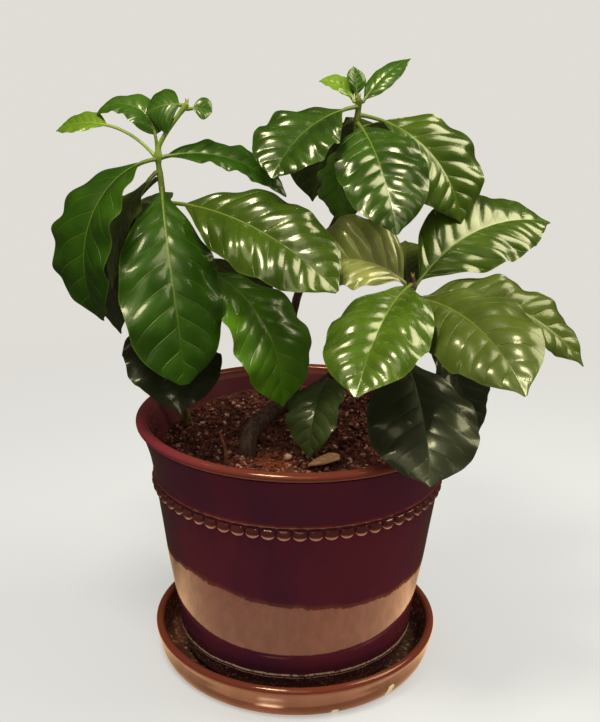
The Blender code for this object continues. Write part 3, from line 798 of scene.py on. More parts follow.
@dataclass(frozen=True)
class Leaf:
    """One leaf, as it grows from its stem.

    height is where it leaves the stem. heading is the way it points, in degrees from +X,
    rise and droop are its slope at the stem and at the tip, swing turns it sideways towards
    the tip, roll banks it and fold lifts its two halves. Lengths are in millimetres. age is
    its finish, which for some leaves is a darker copy painted as shade or a paler one painted
    as sheen; quilt is how far it bulges between its veins, and laterals how many veins a
    side has. widest is where along the blade it is widest, and a full below 1 rounds its
    two ends. wave is how strongly its margins wave, waves how often, and curl how far they
    hang.

    OUTLINE is a blade's half width, as shares along it and shares of the widest. LEAN and HOOK
    turn the veins towards the tip, PLUMP is how round the bulges between them are, ARCH crowns
    each half, and WAVE and FRILL are its margin's long and short waves. BLADE is half the
    blade's thickness, PETIOLE the petiole's radius and CLEAR the gap between it and the stem.
    The midrib is worked out at SAMPLES steps, and a leaf shorter than SMALL is modelled more
    simply.
    """

    node: str
    stem: Shoot
    height: float
    heading: float
    rise: float
    droop: float
    swing: float
    roll: float
    fold: float
    petiole: float
    length: float
    width: float
    age: Foliage
    quilt: float
    laterals: int = 8
    widest: float = 0.5
    wave: float = 1.0
    curl: float = 0.0
    waves: float = 4.0
    full: float = 1.0

    PETIOLE = 1.2
    CLEAR = 0.4
    WAVE = 2.4
    SMALL = 50.0
    OUTLINE = ((0.0, 0.01), (0.06, 0.17), (0.15, 0.48), (0.26, 0.79), (0.38, 0.96), (0.50, 1.0),
               (0.62, 0.96), (0.74, 0.82), (0.84, 0.59), (0.92, 0.29), (0.965, 0.10), (1.0, 0.02))
    SAMPLES = 240
    LEAN = 0.62
    HOOK = 0.55
    BLADE = 0.26
    ARCH = 0.11
    FRILL = 0.5
    PLUMP = 0.62

    @property
    def small(self) -> bool:
        """Return whether this is one of the short leaves at a tip."""
        return self.length < self.SMALL

    def axis(self) -> dict[str, np.ndarray]:
        """Return the midrib from the stem to the tip: shares, points, tangents and side directions."""
        share = np.linspace(0.0, 1.0, self.SAMPLES + 1)
        heading = np.radians(self.heading + self.swing * share)
        slope = np.radians(self.rise + (self.droop - self.rise) * share)
        tangent = np.stack([np.cos(slope) * np.cos(heading), np.cos(slope) * np.sin(heading),
                            np.sin(slope)], axis=1)
        middle = (tangent[1:] + tangent[:-1]) / 2 * (self.petiole + self.length) / self.SAMPLES
        points = self._foot(heading[0], tangent[0]) + np.vstack([np.zeros(3), np.cumsum(middle, axis=0)])
        level = np.stack([np.sin(heading), -np.cos(heading), np.zeros_like(heading)], axis=1)
        upward = np.cross(level, tangent)
        roll = math.radians(self.roll)
        return {"share": share, "point": points, "tangent": tangent,
                "side": math.cos(roll) * level + math.sin(roll) * upward,
                "normal": math.cos(roll) * upward - math.sin(roll) * level}

    @staticmethod
    def read(axis: Mapping[str, np.ndarray], at: np.ndarray, key: str) -> np.ndarray:
        """Return the midrib's points or directions at some shares of its length."""
        return np.stack([np.interp(at, axis["share"], axis[key][:, i]) for i in range(3)], axis=1)

    def _foot(self, heading: float, tangent: np.ndarray) -> np.ndarray:
        """Return where the petiole starts, just clear of the stem."""
        outward = np.array([math.cos(heading), math.sin(heading), 0.0])
        upward = self.stem.center(self.height + 3) - self.stem.center(self.height - 3)
        upward /= np.linalg.norm(upward)
        away = outward - upward * (outward @ upward)
        away /= np.linalg.norm(away)
        tilt = math.sqrt(max(0.0, 1 - (tangent @ away) ** 2))
        clear = self.stem.radius_at(self.height) + self.CLEAR + self.PETIOLE * tilt
        return self.stem.center(self.height) + outward * (clear / (outward @ away))

    def half_width(self, along: np.ndarray) -> np.ndarray:
        """Return the blade's half width at shares of its length."""
        bent = np.power(along, math.log(0.5) / math.log(self.widest))
        return self.width / 2 * eased_through(self.OUTLINE, bent) ** self.full

    def blade(self, along: np.ndarray, across: np.ndarray) -> dict[str, np.ndarray]:
        """Return the blade's middle surface.

        Args:
            along: Shares of the blade's length, one for each row.
            across: Places from -1 to 1 across it, one for each column.

        Returns:
            Grids of points and normals, and of the vein phase at each point.
        """
        axis = self.axis()
        where = (self.petiole + along * self.length) / (self.petiole + self.length)
        point, side, normal = (self.read(axis, where, key)[:, None, :] for key in ("point", "side", "normal"))
        reach = self.half_width(along)[:, None]
        v = across[None, :]
        u = along[:, None]
        out = np.abs(v) * reach
        hand = np.where(v > 0, 0.5, 0.0)
        phase = (self.laterals + 1) * (u - self.LEAN * out / self.length
                                       - self.HOOK / (self.laterals + 1) * np.abs(v) ** 4) + hand
        fold = math.radians(self.fold)
        turn = math.radians(self.heading + 2 * self.height) + np.where(v > 0, 0.0, 1.9)
        scale = min(1.0, self.width / self.SMALL)
        belly = np.sin(np.pi * u)
        ripple = self.wave * self.WAVE * scale * belly * np.sin(2 * np.pi * self.waves * u + turn) * v * v
        frill = 0.0 if self.small else self.FRILL * self.wave
        frill = frill * belly * np.sin(2 * np.pi * phase + 0.8) * np.abs(v) ** 5
        pillow = np.abs(np.sin(np.pi * phase)) ** self.PLUMP - 0.55
        inner = smooth_step(0.0, 4.5 * scale, out)
        ends = smooth_step(0.0, 0.10, u) * smooth_step(1.0, 0.90, u)
        edge = smooth_step(1.02, 0.80, np.abs(v))
        dome = self.ARCH * reach * np.sin(np.pi * np.abs(v)) * belly
        hang = self.curl * reach * np.abs(v) ** 3 * belly
        lift = self.quilt * pillow * inner * ends * edge + dome + ripple + frill - hang
        surface = (point + side * (v * reach * math.cos(fold))[..., None]
                   + normal * (np.abs(v) * reach * math.sin(fold) + lift)[..., None])
        down = np.gradient(surface, axis=0)
        over = np.gradient(surface, axis=1)
        facing = np.cross(over, down)
        facing /= np.maximum(np.linalg.norm(facing, axis=2), 1e-9)[..., None]
        return {"surface": surface, "facing": facing, "phase": phase, "axis": axis}

    def build(self, materials: Sequence[bpy.types.Material]) -> bpy.types.Object:
        """Make the leaf: a thin quilted blade and the rib that runs on from its petiole."""
        rows, half = (44, 12) if self.small else (88, 22)
        along = np.linspace(0.0, 1.0, rows + 1)
        steps = np.arange(-half, half + 1) / half
        across = np.sign(steps) * np.abs(steps) ** 1.3
        blade = self.blade(along, across)
        draft = Draft()
        thick = self.BLADE * (1 - 0.6 * np.abs(across) ** 6)[None, :, None]
        values = {"vein": blade["phase"], "across": np.broadcast_to(np.abs(across), blade["phase"].shape),
                  "along": np.broadcast_to(along[:, None], blade["phase"].shape)}
        top = draft.add_points(blade["surface"] + blade["facing"] * thick, **values)
        low = draft.add_points(blade["surface"] - blade["facing"] * thick, **values)
        wide = len(across)
        grid = [(r * wide + c, r * wide + c + 1, (r + 1) * wide + c + 1, (r + 1) * wide + c)
                for r in range(rows) for c in range(wide - 1)]
        draft.add_faces([tuple(top + i for i in quad) for quad in grid], 0)
        draft.add_faces([tuple(low + i for i in quad[::-1]) for quad in grid], 1)
        border = list(range(wide))
        border += [r * wide + wide - 1 for r in range(1, rows + 1)]
        border += [rows * wide + c for c in range(wide - 2, -1, -1)]
        border += [r * wide for r in range(rows - 1, 0, -1)]
        draft.add_faces([(top + a, low + a, low + b, top + b)
                         for a, b in zip(border, border[1:] + border[:1])], 1)
        self._add_rib(draft, blade["axis"])
        return draft.piece(self.node, materials, [self.node])

    def _add_rib(self, draft: Draft, axis: Mapping[str, np.ndarray]) -> None:
        """Add the petiole, from inside the stem, and the midrib that it becomes."""
        total = self.petiole + self.length
        joint = self.petiole / total
        share = np.concatenate([np.linspace(0, joint, 12, endpoint=False), np.linspace(joint, 0.985, 60)])
        point, normal = (self.read(axis, share, key) for key in ("point", "normal"))
        size = 0.8 if self.small else 1.0
        along = np.clip((share - joint) / (1 - joint), 0.0, 1.0)
        radius = self.PETIOLE * size * (1 - 0.80 * along ** 0.75)
        radius = radius * (1 + 0.22 * np.exp(-share * total / 2.5))
        sink = radius * 0.42 * smooth_step(0.0, 0.08, along)
        inside = self.stem.center(self.height)
        middle = np.vstack([inside + (point[0] - inside) * 0.35, point - normal * sink[:, None]])
        draft.add_tube(middle, np.concatenate([radius[:1], radius]), 10, 2, tuple(axis["side"][0]),
                       vein=np.full(len(middle), 0.5), across=np.zeros(len(middle)),
                       along=np.concatenate([[0.0], along]))


YOUNG, FRESH, LIVELY, FULL, BRIGHT, DEEP, MATT, OLIVE, DARK, PALE, SHADY = Foliage

# Each row: node, stem, height, heading, rise, droop, swing, roll, fold, petiole, length,
# width, age and quilt, then what differs from the defaults.
LEAVES = (
    Leaf("leaf_left_01", LEFT, 323, 159, 46, -26, 5, 29, 6, 35, 36, 22, YOUNG, 0.5, laterals=7, wave=0.4),
    Leaf("leaf_left_02", LEFT, 325, 122, 93, -42, 60, 24, 4, 10, 49, 24, FRESH, 0.6,
         laterals=6, widest=0.42, wave=0.7, full=0.6),
    Leaf("leaf_left_03", LEFT, 352, 172, 10, -40, 0, 52, -20, 1, 22, 34, FRESH, 0.3,
         laterals=5, wave=0.2, full=0.9),
    Leaf("leaf_left_04", LEFT, 350, 8, 12, -28, 4, -55, 6, 1, 13, 15, FRESH, 0.2,
         laterals=4, widest=0.6, wave=0.0),
    Leaf("leaf_left_05", LEFT, 322, 5, 15, -48, -15, -24, 7, 3, 78, 27, MATT, 0.7,
         widest=0.46, wave=1.1, full=0.75),
    Leaf("leaf_left_06", LEFT, 321, -136, -3, -128, 9, -5, 7, 9, 114, 58, MATT, 0.6,
         wave=0.85, waves=5.5, full=0.8),
    Leaf("leaf_left_07", LEFT, 304, -81, -36, -80, 20, 7, -7, 4, 120, 62, MATT, 1.2, widest=0.58, full=0.6),
    Leaf("leaf_left_08", LEFT, 309, 178, -40, -111, 13, 41, -4, 17, 89, 48, DARK, 0.4),
    Leaf("leaf_left_09", LEFT, 313, -150, -40, -93, -4, 0, 2, 5, 72, 38, OLIVE, 0.7),
    Leaf("leaf_left_10", LEFT, 295, -34, 4, -42, 11, -37, 5, 15, 112, 57, FULL, 1.3,
         laterals=9, widest=0.54, curl=0.12, full=0.75),
    Leaf("leaf_left_11", LEFT, 258, -20, 2, -93, -19, -9, 2, 25, 103, 61, LIVELY, 0.7,
         widest=0.56, full=0.9),
    Leaf("leaf_left_12", LEFT, 225, -86, -17, -51, 17, 8, 4, 10, 72, 60, DARK, 0.35),
    Leaf("leaf_left_13", LEFT, 288, 115, 15, -60, 10, 0, 8, 14, 105, 56, DEEP, 0.9),
    Leaf("leaf_left_14", LEFT, 252, 60, 10, -65, -10, 0, 8, 14, 100, 54, DEEP, 0.8),
    Leaf("leaf_center_01", CENTER, 354, 164, 63, -9, -2, 22, 8, 1, 26, 19, YOUNG, 0.5,
         laterals=5, wave=0.4),
    Leaf("leaf_center_02", CENTER, 355, 112, 82, 62, 0, -8, 10, 1, 20, 14, FRESH, 0.3,
         laterals=5, widest=0.55, wave=0.2, full=1.4),
    Leaf("leaf_center_03", CENTER, 354, 22, 56, 22, 0, -30, -8, 1, 40, 17, FRESH, 0.4,
         laterals=6, widest=0.46, wave=0.4),
    Leaf("leaf_center_04", CENTER, 351, -142, -6, -48, 20, 14, 6, 8, 76, 50, DEEP, 1.3,
         laterals=7, widest=0.58, full=0.85),
    Leaf("leaf_center_05", CENTER, 341, -74, -16, -60, 0, -12, 3, 5, 88, 53, DEEP, 1.2, full=0.8),
    Leaf("leaf_center_06", CENTER, 346, -4, -8, -81, -22, -35, 2, 14, 83, 62, FULL, 1.3, laterals=7),
    # center_07 has the brighter LIVELY finish as painted light, since it hangs in the shade of center_05.
    Leaf("leaf_center_07", CENTER, 333, -133, -49, -116, 7, -15, -1, 2, 55, 44, LIVELY, 0.8, laterals=7),
    Leaf("leaf_center_08", CENTER, 343, 112, -5, -78, 0, 0, 8, 12, 84, 48, DEEP, 0.9),
    Leaf("leaf_center_09", CENTER, 336, 68, 15, -60, 0, 0, 8, 12, 98, 56, FULL, 1.0),
    Leaf("leaf_right_01", RIGHT, 251, 162, 44, -38, 4, 43, 20, 3, 63, 56, PALE, 1.2, laterals=7),
    Leaf("leaf_right_02", RIGHT, 250, 45, 40, -13, -17, -34, -1, 5, 120, 58, FULL, 1.3, laterals=9),
    Leaf("leaf_right_03", RIGHT, 244, -55, 9, -38, -15, -25, 6, 8, 106, 58, OLIVE, 0.8,
         curl=0.25, full=0.9),
    Leaf("leaf_right_04", RIGHT, 252, -113, 0, -44, 3, 1, 6, 4, 103, 58, BRIGHT, 1.3,
         laterals=9, widest=0.55, curl=0.25, full=0.75),
    Leaf("leaf_right_05", RIGHT, 242, 1, 15, -54, -15, -32, 2, 7, 110, 42, OLIVE, 1.5,
         laterals=9, wave=1.5),
    Leaf("leaf_right_06", RIGHT, 224, -69, -19, -43, -22, -2, -6, 28, 91, 63, DARK, 0.4,
         laterals=7, widest=0.56, full=0.9),
    Leaf("leaf_right_07", RIGHT, 183, -102, 19, -90, -6, -21, 6, 6, 64, 39, SHADY, 0.8, laterals=7),
    Leaf("leaf_right_08", RIGHT, 248, 89, 5, 9, -5, 1, 4, 7, 90, 42, OLIVE, 0.9),
    Leaf("leaf_right_09", RIGHT, 236, -15, -36, -77, -10, -22, 4, 20, 71, 42, DARK, 0.8),
    Leaf("leaf_right_10", RIGHT, 232, 72, 5, -60, -10, 0, 8, 14, 100, 56, DEEP, 0.9),
)


@dataclass
class Crown:
    """All the leaves, and the buds at the shoots' tips."""

    leaves: tuple[Leaf, ...] = LEAVES
    bud_length: float = 4.2
    bud_radius: float = 0.9

    def build(self) -> None:
        """Make every leaf and bud."""
        finishes = {age: age.value.faces(f"leaf_{age.name.lower()}") for age in Foliage}
        for leaf in self.leaves:
            leaf.build(finishes[leaf.age])
        husk = DryFinish(tone(188, 172, 92), tone(122, 112, 48)).material("bud_husk")
        for name, stem in (("bud_left", LEFT), ("bud_center", CENTER), ("bud_right", RIGHT)):
            self._bud(name, stem, husk)

    def _bud(self, name: str, stem: Shoot, husk: bpy.types.Material) -> None:
        """Make the pair of folded leaflets that points up from a stem's tip."""
        draft = Draft()
        tip = np.array(stem.route[-1], dtype=float)
        share = np.linspace(0, 1, 9)
        for lean in (-1, 1):
            middle = tip + np.stack([lean * 0.9 * share ** 1.4, 0.3 * lean * share,
                                     self.bud_length * share - 1.0], axis=1)
            point = np.sqrt(np.clip(1 - share ** 1.6, 0.02, 1))
            draft.add_tube(middle, self.bud_radius * point * (0.7 + 0.6 * share * (1 - share)), 10)
        draft.piece(name, [husk])


@dataclass
class Stems:
    """The woody trunk with its fork and arched root, and the slender left stem.

    The trunk's bark stands out fully up to woody_below, then less and less over smooth_after.
    """

    voxel: float = 0.75
    relief: float = 0.35
    woody_below: float = 200.0
    smooth_after: float = 120.0

    def build(self) -> None:
        """Make both stems."""
        bark = BarkFinish(tone(92, 104, 40), tone(58, 40, 44), tone(98, 70, 64),
                          turn_low=232, turn_high=318, depth=0.9)
        self._trunk(bark.material("trunk_bark"))
        green = BarkFinish(tone(136, 162, 74), tone(74, 66, 40), tone(118, 108, 70),
                           turn_low=190, turn_high=286, depth=0.25)
        self._left(green.material("left_stem_skin"))

    @staticmethod
    def _nodes(stem: Shoot) -> list[float]:
        """Return the heights at which leaves leave a stem."""
        return sorted({leaf.height for leaf in LEAVES if leaf.stem is stem})

    def _left(self, skin: bpy.types.Material) -> None:
        """Make the left stem."""
        draft = Draft()
        points, radii = LEFT.skin(self._nodes(LEFT))
        draft.add_tube(points, radii, 16)
        draft.piece("left_stem_skin", [skin], ["stem_left"])

    def _trunk(self, bark: bpy.types.Material) -> None:
        """Make the trunk, with its three runs grown together and its bark in relief."""
        draft = Draft()
        for stem in (CENTER, RIGHT, ROOT):
            points, radii = stem.skin(self._nodes(stem))
            draft.add_tube(points, radii, 20)
        obj = draft.piece("trunk_skin", [bark], ["trunk"])
        grow = obj.modifiers.new("grow_together", "REMESH")
        grow.mode = "VOXEL"
        grow.voxel_size = self.voxel * MM
        soft = obj.modifiers.new("soften", "SMOOTH")
        soft.iterations = 3
        evaluated = obj.evaluated_get(bpy.context.evaluated_depsgraph_get())
        mesh = bpy.data.meshes.new_from_object(evaluated)
        obj.modifiers.clear()
        old = obj.data
        obj.data = mesh
        bpy.data.meshes.remove(old)
        mesh.name = obj.name
        for vertex in mesh.vertices:
            spot = vertex.co * (1 / MM)
            knots = noise.noise(Vector((spot.x / 5, spot.y / 5, spot.z / 9)))
            cracks = noise.noise(Vector((spot.x / 1.3, spot.y / 1.3, spot.z / 5)))
            woody = min(1.0, max(0.25, 1 - (spot.z - self.woody_below) / self.smooth_after))
            vertex.co += vertex.normal * (self.relief * woody * (0.9 * knots + 0.8 * cracks) * MM)
        mesh.shade_smooth()
        mesh.materials.clear()
        mesh.materials.append(bark)
        LOG.info("%s: %d faces after growing together", obj.name, len(mesh.polygons))


@dataclass
class Pot:
    """The thrown pot with its rolled rim, thin ridge and band of half-round beads.

    LEDGE is the underside of the rolled rim, as distances in from its radius and down from
    its top. OUTSIDE, INSIDE and the neck are heights and radii of the wall. BEAD is a bead's
    section, as shares of its size and of how far it stands out.
    """

    foot: float = 4.3
    floor: float = 8.0
    drain: float = 7.0
    well: float = 62.0
    foot_radius: float = 69.0
    foot_edge: float = 71.4
    ridge: float = 127.6
    ridge_radius: float = 91.6
    neck: tuple[float, float] = (142.0, 94.6)
    lip_drop: float = 6.6
    lip_radius: float = 98.75
    lip_round: float = 0.45
    rim: float = 164.0
    rim_radius: float = 102.5
    rim_depth: float = 7.0
    rim_thick: float = 4.8
    rim_hang: float = 5.4
    beads: int = 63
    bead_width: float = 8.8
    bead_height: float = 8.0
    bead_proud: float = 2.8
    bead_drop: float = 4.9
    sides: int = 252
    glaze: GlazeFinish = GlazeFinish()

    LEDGE = ((4.2, 5.7), (3.4, 5.35), (2.4, 5.05), (1.2, 4.6), (0.5, 4.0), (0.15, 3.3))
    OUTSIDE = ((6.5, 73.2), (10.0, 75.4), (17.0, 76.9), (34.0, 78.7), (52.0, 81.3), (72.0, 84.5),
               (94.0, 87.4), (114.0, 90.2), (126.4, 91.6))
    BEAD = ((1.0, -0.7), (1.0, 0.02), (0.985, 0.26), (0.95, 0.46), (0.88, 0.60), (0.74, 0.74), (0.56, 0.87),
            (0.38, 0.95), (0.18, 1.0))
    BEAD_SIDES = 24
    BEAD_FLAT = 0.70
    INSIDE = ((16.3, 66.4), (30.0, 70.4), (52.0, 75.4), (88.0, 80.6), (127.0, 86.2), (156.0, 93.0),
              (159.0, 93.9))

    def wall(self, height: float) -> float:
        """Return the outer radius below the ridge."""
        return float(eased_through(self.OUTSIDE, np.array([height]))[0])

    def profile(self) -> list[tuple[float, float]]:
        """Return the pot's section, from the drain hole round the outside and back inside."""
        base = self.foot + self.floor
        section = [(self.drain, base), (self.drain, self.foot + 1.0), (self.drain + 1.0, self.foot),
                   (self.foot_radius, self.foot), (self.foot_edge, self.foot + 0.7)]
        section += [(self.wall(h), h) for h in np.linspace(6.5, 126.2, 34)]
        ridge = self.ridge_radius
        section += [(ridge + 0.5, self.ridge - 0.9), (ridge + 1.1, self.ridge - 0.45),
                    (ridge + 1.25, self.ridge), (ridge + 1.0, self.ridge + 0.5),
                    (ridge + 0.6, self.ridge + 1.3)]
        lip = self.rim - self.lip_drop
        neck = ((self.ridge + 1.4, ridge + 0.5), self.neck, (lip - 0.6, self.lip_radius + 0.4))
        section += [(float(eased_through(neck, np.array([h]))[0]), h)
                    for h in np.linspace(self.ridge + 3, lip - 0.6, 12)]
        section += [(self.lip_radius + self.lip_round * math.cos(a), lip + self.lip_round * math.sin(a))
                    for a in np.radians(np.linspace(-10, 90, 7))]
        section += [(self.rim_radius - inward, self.rim - below) for inward, below in self.LEDGE]
        roll = self.rim_depth / 2
        middle = self.rim_radius - roll
        half = self.rim_thick / 2
        section += [(middle + roll * math.cos(a), self.rim - half + half * math.sin(a))
                    for a in np.radians(np.linspace(-12, 168, 22))]
        section += [(float(eased_through(self.INSIDE, np.array([h]))[0]), h)
                    for h in np.linspace(158.5, 16.3, 20)]
        return section + [(self.well, base)]

    def build(self) -> None:
        """Make the pot."""
        draft = Draft()
        draft.add_turned(self.profile(), self.sides, True, sway=0.12)
        for bead in range(self.beads):
            self._bead(draft, 2 * math.pi * (bead + 0.5) / self.beads)
        material = self.glaze.pot(self.ridge, self.foot, self.rim - self.rim_hang, self.rim_radius)
        draft.piece("pot_body", [material], ["pot"], sharp=38)

    def _bead(self, draft: Draft, angle: float) -> None:
        """Add one bead: a half egg, flattened on top where it tucks under the ridge."""
        out = np.array([math.cos(angle), math.sin(angle), 0.0])
        along = np.array([-math.sin(angle), math.cos(angle), 0.0])
        middle = out * (self.ridge_radius - 0.9) + np.array([0, 0, self.ridge - self.bead_drop])
        around = self.BEAD_SIDES
        turn = np.arange(around) * 2 * math.pi / around
        high = np.minimum(np.sin(turn), self.BEAD_FLAT)
        loops = [middle + self.bead_proud * depth * out
                 + size * (np.outer(np.cos(turn) * self.bead_width / 2, along)
                           + np.outer(high * self.bead_height / 2, (0, 0, 1)))
                 for size, depth in self.BEAD]
        rings = len(loops) - 1
        first = draft.add_points(np.array(loops))
        draft.add_faces([(first + r * around + s, first + r * around + (s + 1) % around,
                          first + (r + 1) * around + (s + 1) % around, first + (r + 1) * around + s)
                         for r in range(rings) for s in range(around)])
        last = first + rings * around
        draft.add_faces([tuple(range(last, last + around)), tuple(range(first, first + around))[::-1]])


@dataclass
class Saucer:
    """The deep saucer with a rolled rim, in the same glaze."""

    foot_radius: float = 88.5
    rim_radius: float = 93.6
    rim: float = 21.5
    rim_width: float = 5.6
    floor: float = 4.0
    sides: int = 224
    chips: tuple[tuple[Place, float], ...] = (((59.2, -67.7, 3.0), 2.8), ((60.0, -67.0, 6.4), 2.6),
                                              ((25.0, -85.4, 1.6), 2.1))
    glaze: GlazeFinish = GlazeFinish()

    def profile(self) -> list[tuple[float, float]]:
        """Return the saucer's section, from the middle of its underside to its floor."""
        half = self.rim_width / 2
        center, low = self.rim_radius - half, self.rim - half
        outer = ((1.2, self.foot_radius), (5.0, self.foot_radius + 1.8), (12.0, self.foot_radius + 3.2),
                 (low - 1.2, center + half * 0.906))
        inner = ((self.floor + 1.2, center - half - 4.8), (9.0, center - half - 2.2), (low, center - half))
        section = [(0.0, 0.0), (60.0, 0.0), (self.foot_radius - 2.5, 0.0), (self.foot_radius - 0.8, 0.35)]
        section += [(float(eased_through(outer, np.array([h]))[0]), h)
                    for h in np.linspace(1.2, low - 1.6, 12)]
        section += [(center + half * math.cos(a), low + half * math.sin(a))
                    for a in np.radians(np.linspace(-25, 180, 20))]
        section += [(float(eased_through(inner, np.array([h]))[0]), h)
                    for h in np.linspace(low - 1, self.floor + 1.2, 8)]
        section += [(center - half - 6.4, self.floor + 0.35), (center - half - 8.5, self.floor),
                    (40.0, self.floor), (0.0, self.floor)]
        return section

    def build(self) -> None:
        """Make the saucer."""
        draft = Draft()
        draft.add_turned(self.profile(), self.sides, False, sway=0.08)
        material = self.glaze.saucer(self.rim, self.floor, dict(self.chips))
        draft.piece("saucer_body", [material], ["saucer"], sharp=38)


@dataclass
class Earth:
    """The potting mix: a lumpy bed with loose grains of peat, bark and grit on it.

    A grain is fine_grain in radius and up to coarser more, which is the seldomer the higher
    the rarity is. CRUMB is how wide the bed's crumbs are, and STONE_FACES joins a stone's
    twelve corners.
    """

    front: float = 136.0
    slope: float = 0.12
    climbs_from: float = -25.0
    mound: float = 3.0
    lump: float = 1.0
    wall_gap: float = 0.3
    sides: int = 220
    rings: int = 64
    grains: int = 3400
    fine_grain: float = 0.7
    coarser: float = 1.3
    rarity: float = 2.6
    seed: int = 41
    finish: EarthFinish = EarthFinish()

    CRUMB = 4.2
    STONE_FACES = ((0, 11, 5), (0, 5, 1), (0, 1, 7), (0, 7, 10), (0, 10, 11), (1, 5, 9), (5, 11, 4),
                   (11, 10, 2), (10, 7, 6), (7, 1, 8), (3, 9, 4), (3, 4, 2), (3, 2, 6), (3, 6, 8),
                   (3, 8, 9), (4, 9, 5), (2, 4, 11), (6, 2, 10), (8, 6, 7), (9, 8, 1))

    def inside(self, height: np.ndarray | float) -> np.ndarray:
        """Return the pot's inner radius at a height."""
        return np.interp(height, *zip(*Pot.INSIDE))

    def surface(self, x: np.ndarray, y: np.ndarray) -> np.ndarray:
        """Return the bed's height, which climbs to the back and is lumpy."""
        share = np.minimum(1.0, np.hypot(x, y) / self.inside(self.front))
        climb = self.slope * np.maximum(0.0, y - self.climbs_from)
        lumps = np.sin(0.21 * x + 0.7) * np.sin(0.19 * y + 1.1) + 0.6 * np.sin(0.43 * x - 0.31 * y)
        return self.front + climb + self.mound * (1 - share ** 2) + self.lump * lumps * (1 - share ** 6)

    def build(self) -> None:
        """Make the bed and its grains."""
        self._bed()
        self._grains()

    def _bed(self) -> None:
        """Make the solid bed, its top broken into crumbs."""
        draft = Draft()
        angle = np.arange(self.sides) * 2 * math.pi / self.sides
        loops = []
        buried = [(height, radius) for height, radius in Pot.INSIDE if height < self.front]
        for height, radius in ((Pot.foot + Pot.floor + self.wall_gap, Pot.well), *buried):
            reach = radius - self.wall_gap
            loops.append(np.stack([reach * np.cos(angle), reach * np.sin(angle),
                                   np.full(self.sides, height)], axis=1))
        edge = self.inside(self.front)
        rim_height = self.surface(edge * np.cos(angle), edge * np.sin(angle))
        for ring in range(self.rings):
            share = 1 - ring / self.rings
            radius = share * (self.inside(rim_height) - self.wall_gap)
            x, y = radius * np.cos(angle), radius * np.sin(angle)
            height = self.surface(x, y) if ring else rim_height
            crumbs = np.array([noise.fractal(Vector((a / self.CRUMB, b / self.CRUMB, 0.3)), 0.8, 2.1, 4)
                               for a, b in zip(x, y)])
            loops.append(np.stack([x, y, height + (1.1 * crumbs - 0.5 if ring else 0)], axis=1))
        first = draft.add_points(np.array(loops))
        count = len(loops)
        draft.add_faces([(first + r * self.sides + s, first + r * self.sides + (s + 1) % self.sides,
                          first + (r + 1) * self.sides + (s + 1) % self.sides,
                          first + (r + 1) * self.sides + s)
                         for r in range(count - 1) for s in range(self.sides)])
        draft.add_faces([tuple(range(first, first + self.sides))[::-1]])
        top = float(self.surface(np.array(0.0), np.array(0.0))) - 0.5
        tip = draft.add_points(np.array([(0.0, 0.0, top)]))
        last = first + (count - 1) * self.sides
        draft.add_faces([(last + s, last + (s + 1) % self.sides, tip) for s in range(self.sides)])
        draft.piece("soil_bed", [self.finish.bed()], ["soil"], sharp=70)

    def _grains(self) -> None:
        """Scatter the grains evenly over the bed, coarse ones fewer."""
        rng = np.random.default_rng(self.seed)
        draft = Draft()
        shape = self._stone()
        reach = float(self.inside(self.front)) - 1.5
        for _ in range(self.grains):
            radius, turn = reach * math.sqrt(rng.random()), rng.random() * 2 * math.pi
            x, y = radius * math.cos(turn), radius * math.sin(turn)
            size = self.fine_grain + self.coarser * rng.random() ** self.rarity
            stretch = size * np.array([1.0 + 0.4 * rng.random(), 0.9, 0.65 + 0.3 * rng.random()])
            spin = Matrix.Rotation(rng.random() * 6.283, 3, "Z") @ Matrix.Rotation(rng.normal() * 0.5, 3, "X")
            points = (shape + rng.normal(0, 0.12, shape.shape)) * stretch @ np.array(spin).T
            height = float(self.surface(np.array(x), np.array(y)))
            first = draft.add_points(points + (x, y, height - 0.1 + 0.35 * size), grain=float(rng.random()))
            draft.add_faces([(first + a, first + b, first + c) for a, b, c in self.STONE_FACES])
        draft.piece("soil_grains", [self.finish.grains()], sharp=25)

    @staticmethod
    def _stone() -> np.ndarray:
        """Return the twelve corners of a round stone of radius 1."""
        golden = (1 + math.sqrt(5)) / 2
        flat = [(a, b * golden, 0.0) for b in (1, -1) for a in (-1, 1)]
        corners = flat + [(0.0, p[0], p[1]) for p in flat] + [(p[1], 0.0, p[0]) for p in flat]
        return np.array(corners) / math.hypot(1, golden)


